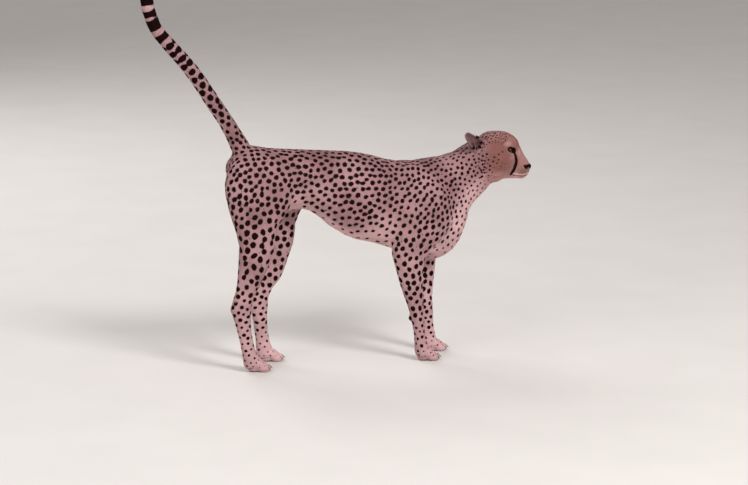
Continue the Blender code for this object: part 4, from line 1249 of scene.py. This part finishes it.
# ---- the studio
def make_stage():
    bm = bmesh.new()
    bmesh.ops.create_grid(bm, x_segments=2, y_segments=2, size=60)
    floor = new_object("floor", mesh_of("floor", bm))
    floor.location.z = -0.0005
    look = plain_material("floor", linear(205, 200, 196), linear(214, 209, 205), 3.0, 0.85)
    floor.data.materials.append(look)
    floor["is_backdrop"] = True
    world = bpy.data.worlds.new("studio")
    world.use_nodes = True
    background = world.node_tree.nodes["Background"].inputs
    fill(world.node_tree, background["Color"], (0.86, 0.84, 0.83))
    fill(world.node_tree, background["Strength"], 0.55)
    bpy.context.scene.world = world
    for name, place, size, watts in (
        ("key", (3.0, -5.5, 5.5), 2.4, 470),
        ("fill", (-5.0, -4.0, 3.0), 5.0, 190),
        ("back", (-2.0, 5.0, 4.5), 4.0, 190),
    ):
        light = bpy.data.lights.new(name, "AREA")
        light.size, light.energy = size, watts
        lamp = new_object(name, light)
        lamp.location = place
        aim = Vector((0, 0, 0.6)) - Vector(place)
        lamp.rotation_euler = aim.to_track_quat("-Z", "Y").to_euler()


def make_camera():
    a, e = CAMERA_AZIMUTH, CAMERA_ELEVATION
    back = Vector((math.sin(a) * math.cos(e), -math.cos(a) * math.cos(e), math.sin(e)))
    right = Vector((math.cos(a), math.sin(a), 0.0))
    up = back.cross(right)
    data = bpy.data.cameras.new("camera")
    data.sensor_width, data.lens = 36.0, LENS
    camera = new_object("camera", data)
    place = Vector(SHIFT) + back * CAMERA_DISTANCE + right * CAMERA_RIGHT + up * CAMERA_UP
    turn = Matrix((right, up, back)).transposed().to_4x4()
    camera.matrix_world = Matrix.Translation(place) @ turn
    bpy.context.scene.camera = camera


def dress(obj, slot, material, *nodes):
    obj.data.materials.clear()
    obj.data.materials.append(material)
    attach(obj, "root")
    if nodes:
        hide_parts(*nodes)


SHIFT = find_shift()
make_camera()
make_stage()
skin = make_skin()
points, normals = surface(skin.data)
spot_rows = make_spots(skin.data)
spots = spot_rows, tree_of(spot_rows[0])
print("skin", len(skin.data.polygons), "spots", len(spot_rows[0]))
pale, tint, shade = shades(points, normals, np.random.default_rng(2))
add_value(skin.data, "mark", marks_at(points, normals, *spots))
for key, value in (("pale", pale), ("tint", tint), ("shade", shade * 0.9)):
    add_value(skin.data, key, value)
bm = bmesh.new()
bm.from_mesh(skin.data)
skin_tree = BVHTree.FromBMesh(bm)
bm.free()
pieces = make_coat(skin.data, spots)
set_points(skin.data, points + SHIFT)
coat = coat_material()
dress(skin, "coat", coat, *(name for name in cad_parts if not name.startswith("eye_")))
for piece, slot in pieces:
    dress(piece, slot, coat)
eye_look = eye_material()
lid_colours = linear(16, 6, 6), linear(26, 12, 11)
lid_look = plain_material("lid", *lid_colours, 300.0, 0.55, Specular_IOR_Level=0.2)
for word, side, place in eye_places():
    dress(make_eye(word, place), "eye", eye_look, f"eye_{word}")
    dress(make_lids(word, side, place, skin_tree), "face_coat", lid_look)
claw_look = plain_material("claw", linear(30, 22, 20), linear(62, 48, 42), 200.0, 0.35)
dress(make_claws(), "paw_coat", claw_look)
whisker_look = plain_material("whisker", linear(222, 208, 202), linear(240, 232, 228), 50.0, 0.4)
dress(make_whiskers(skin_tree), "face_coat", whisker_look)

bpy.context.scene.view_settings.view_transform = "Standard"
[[list(corner) for corner in box] for box in (cad_box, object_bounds())]
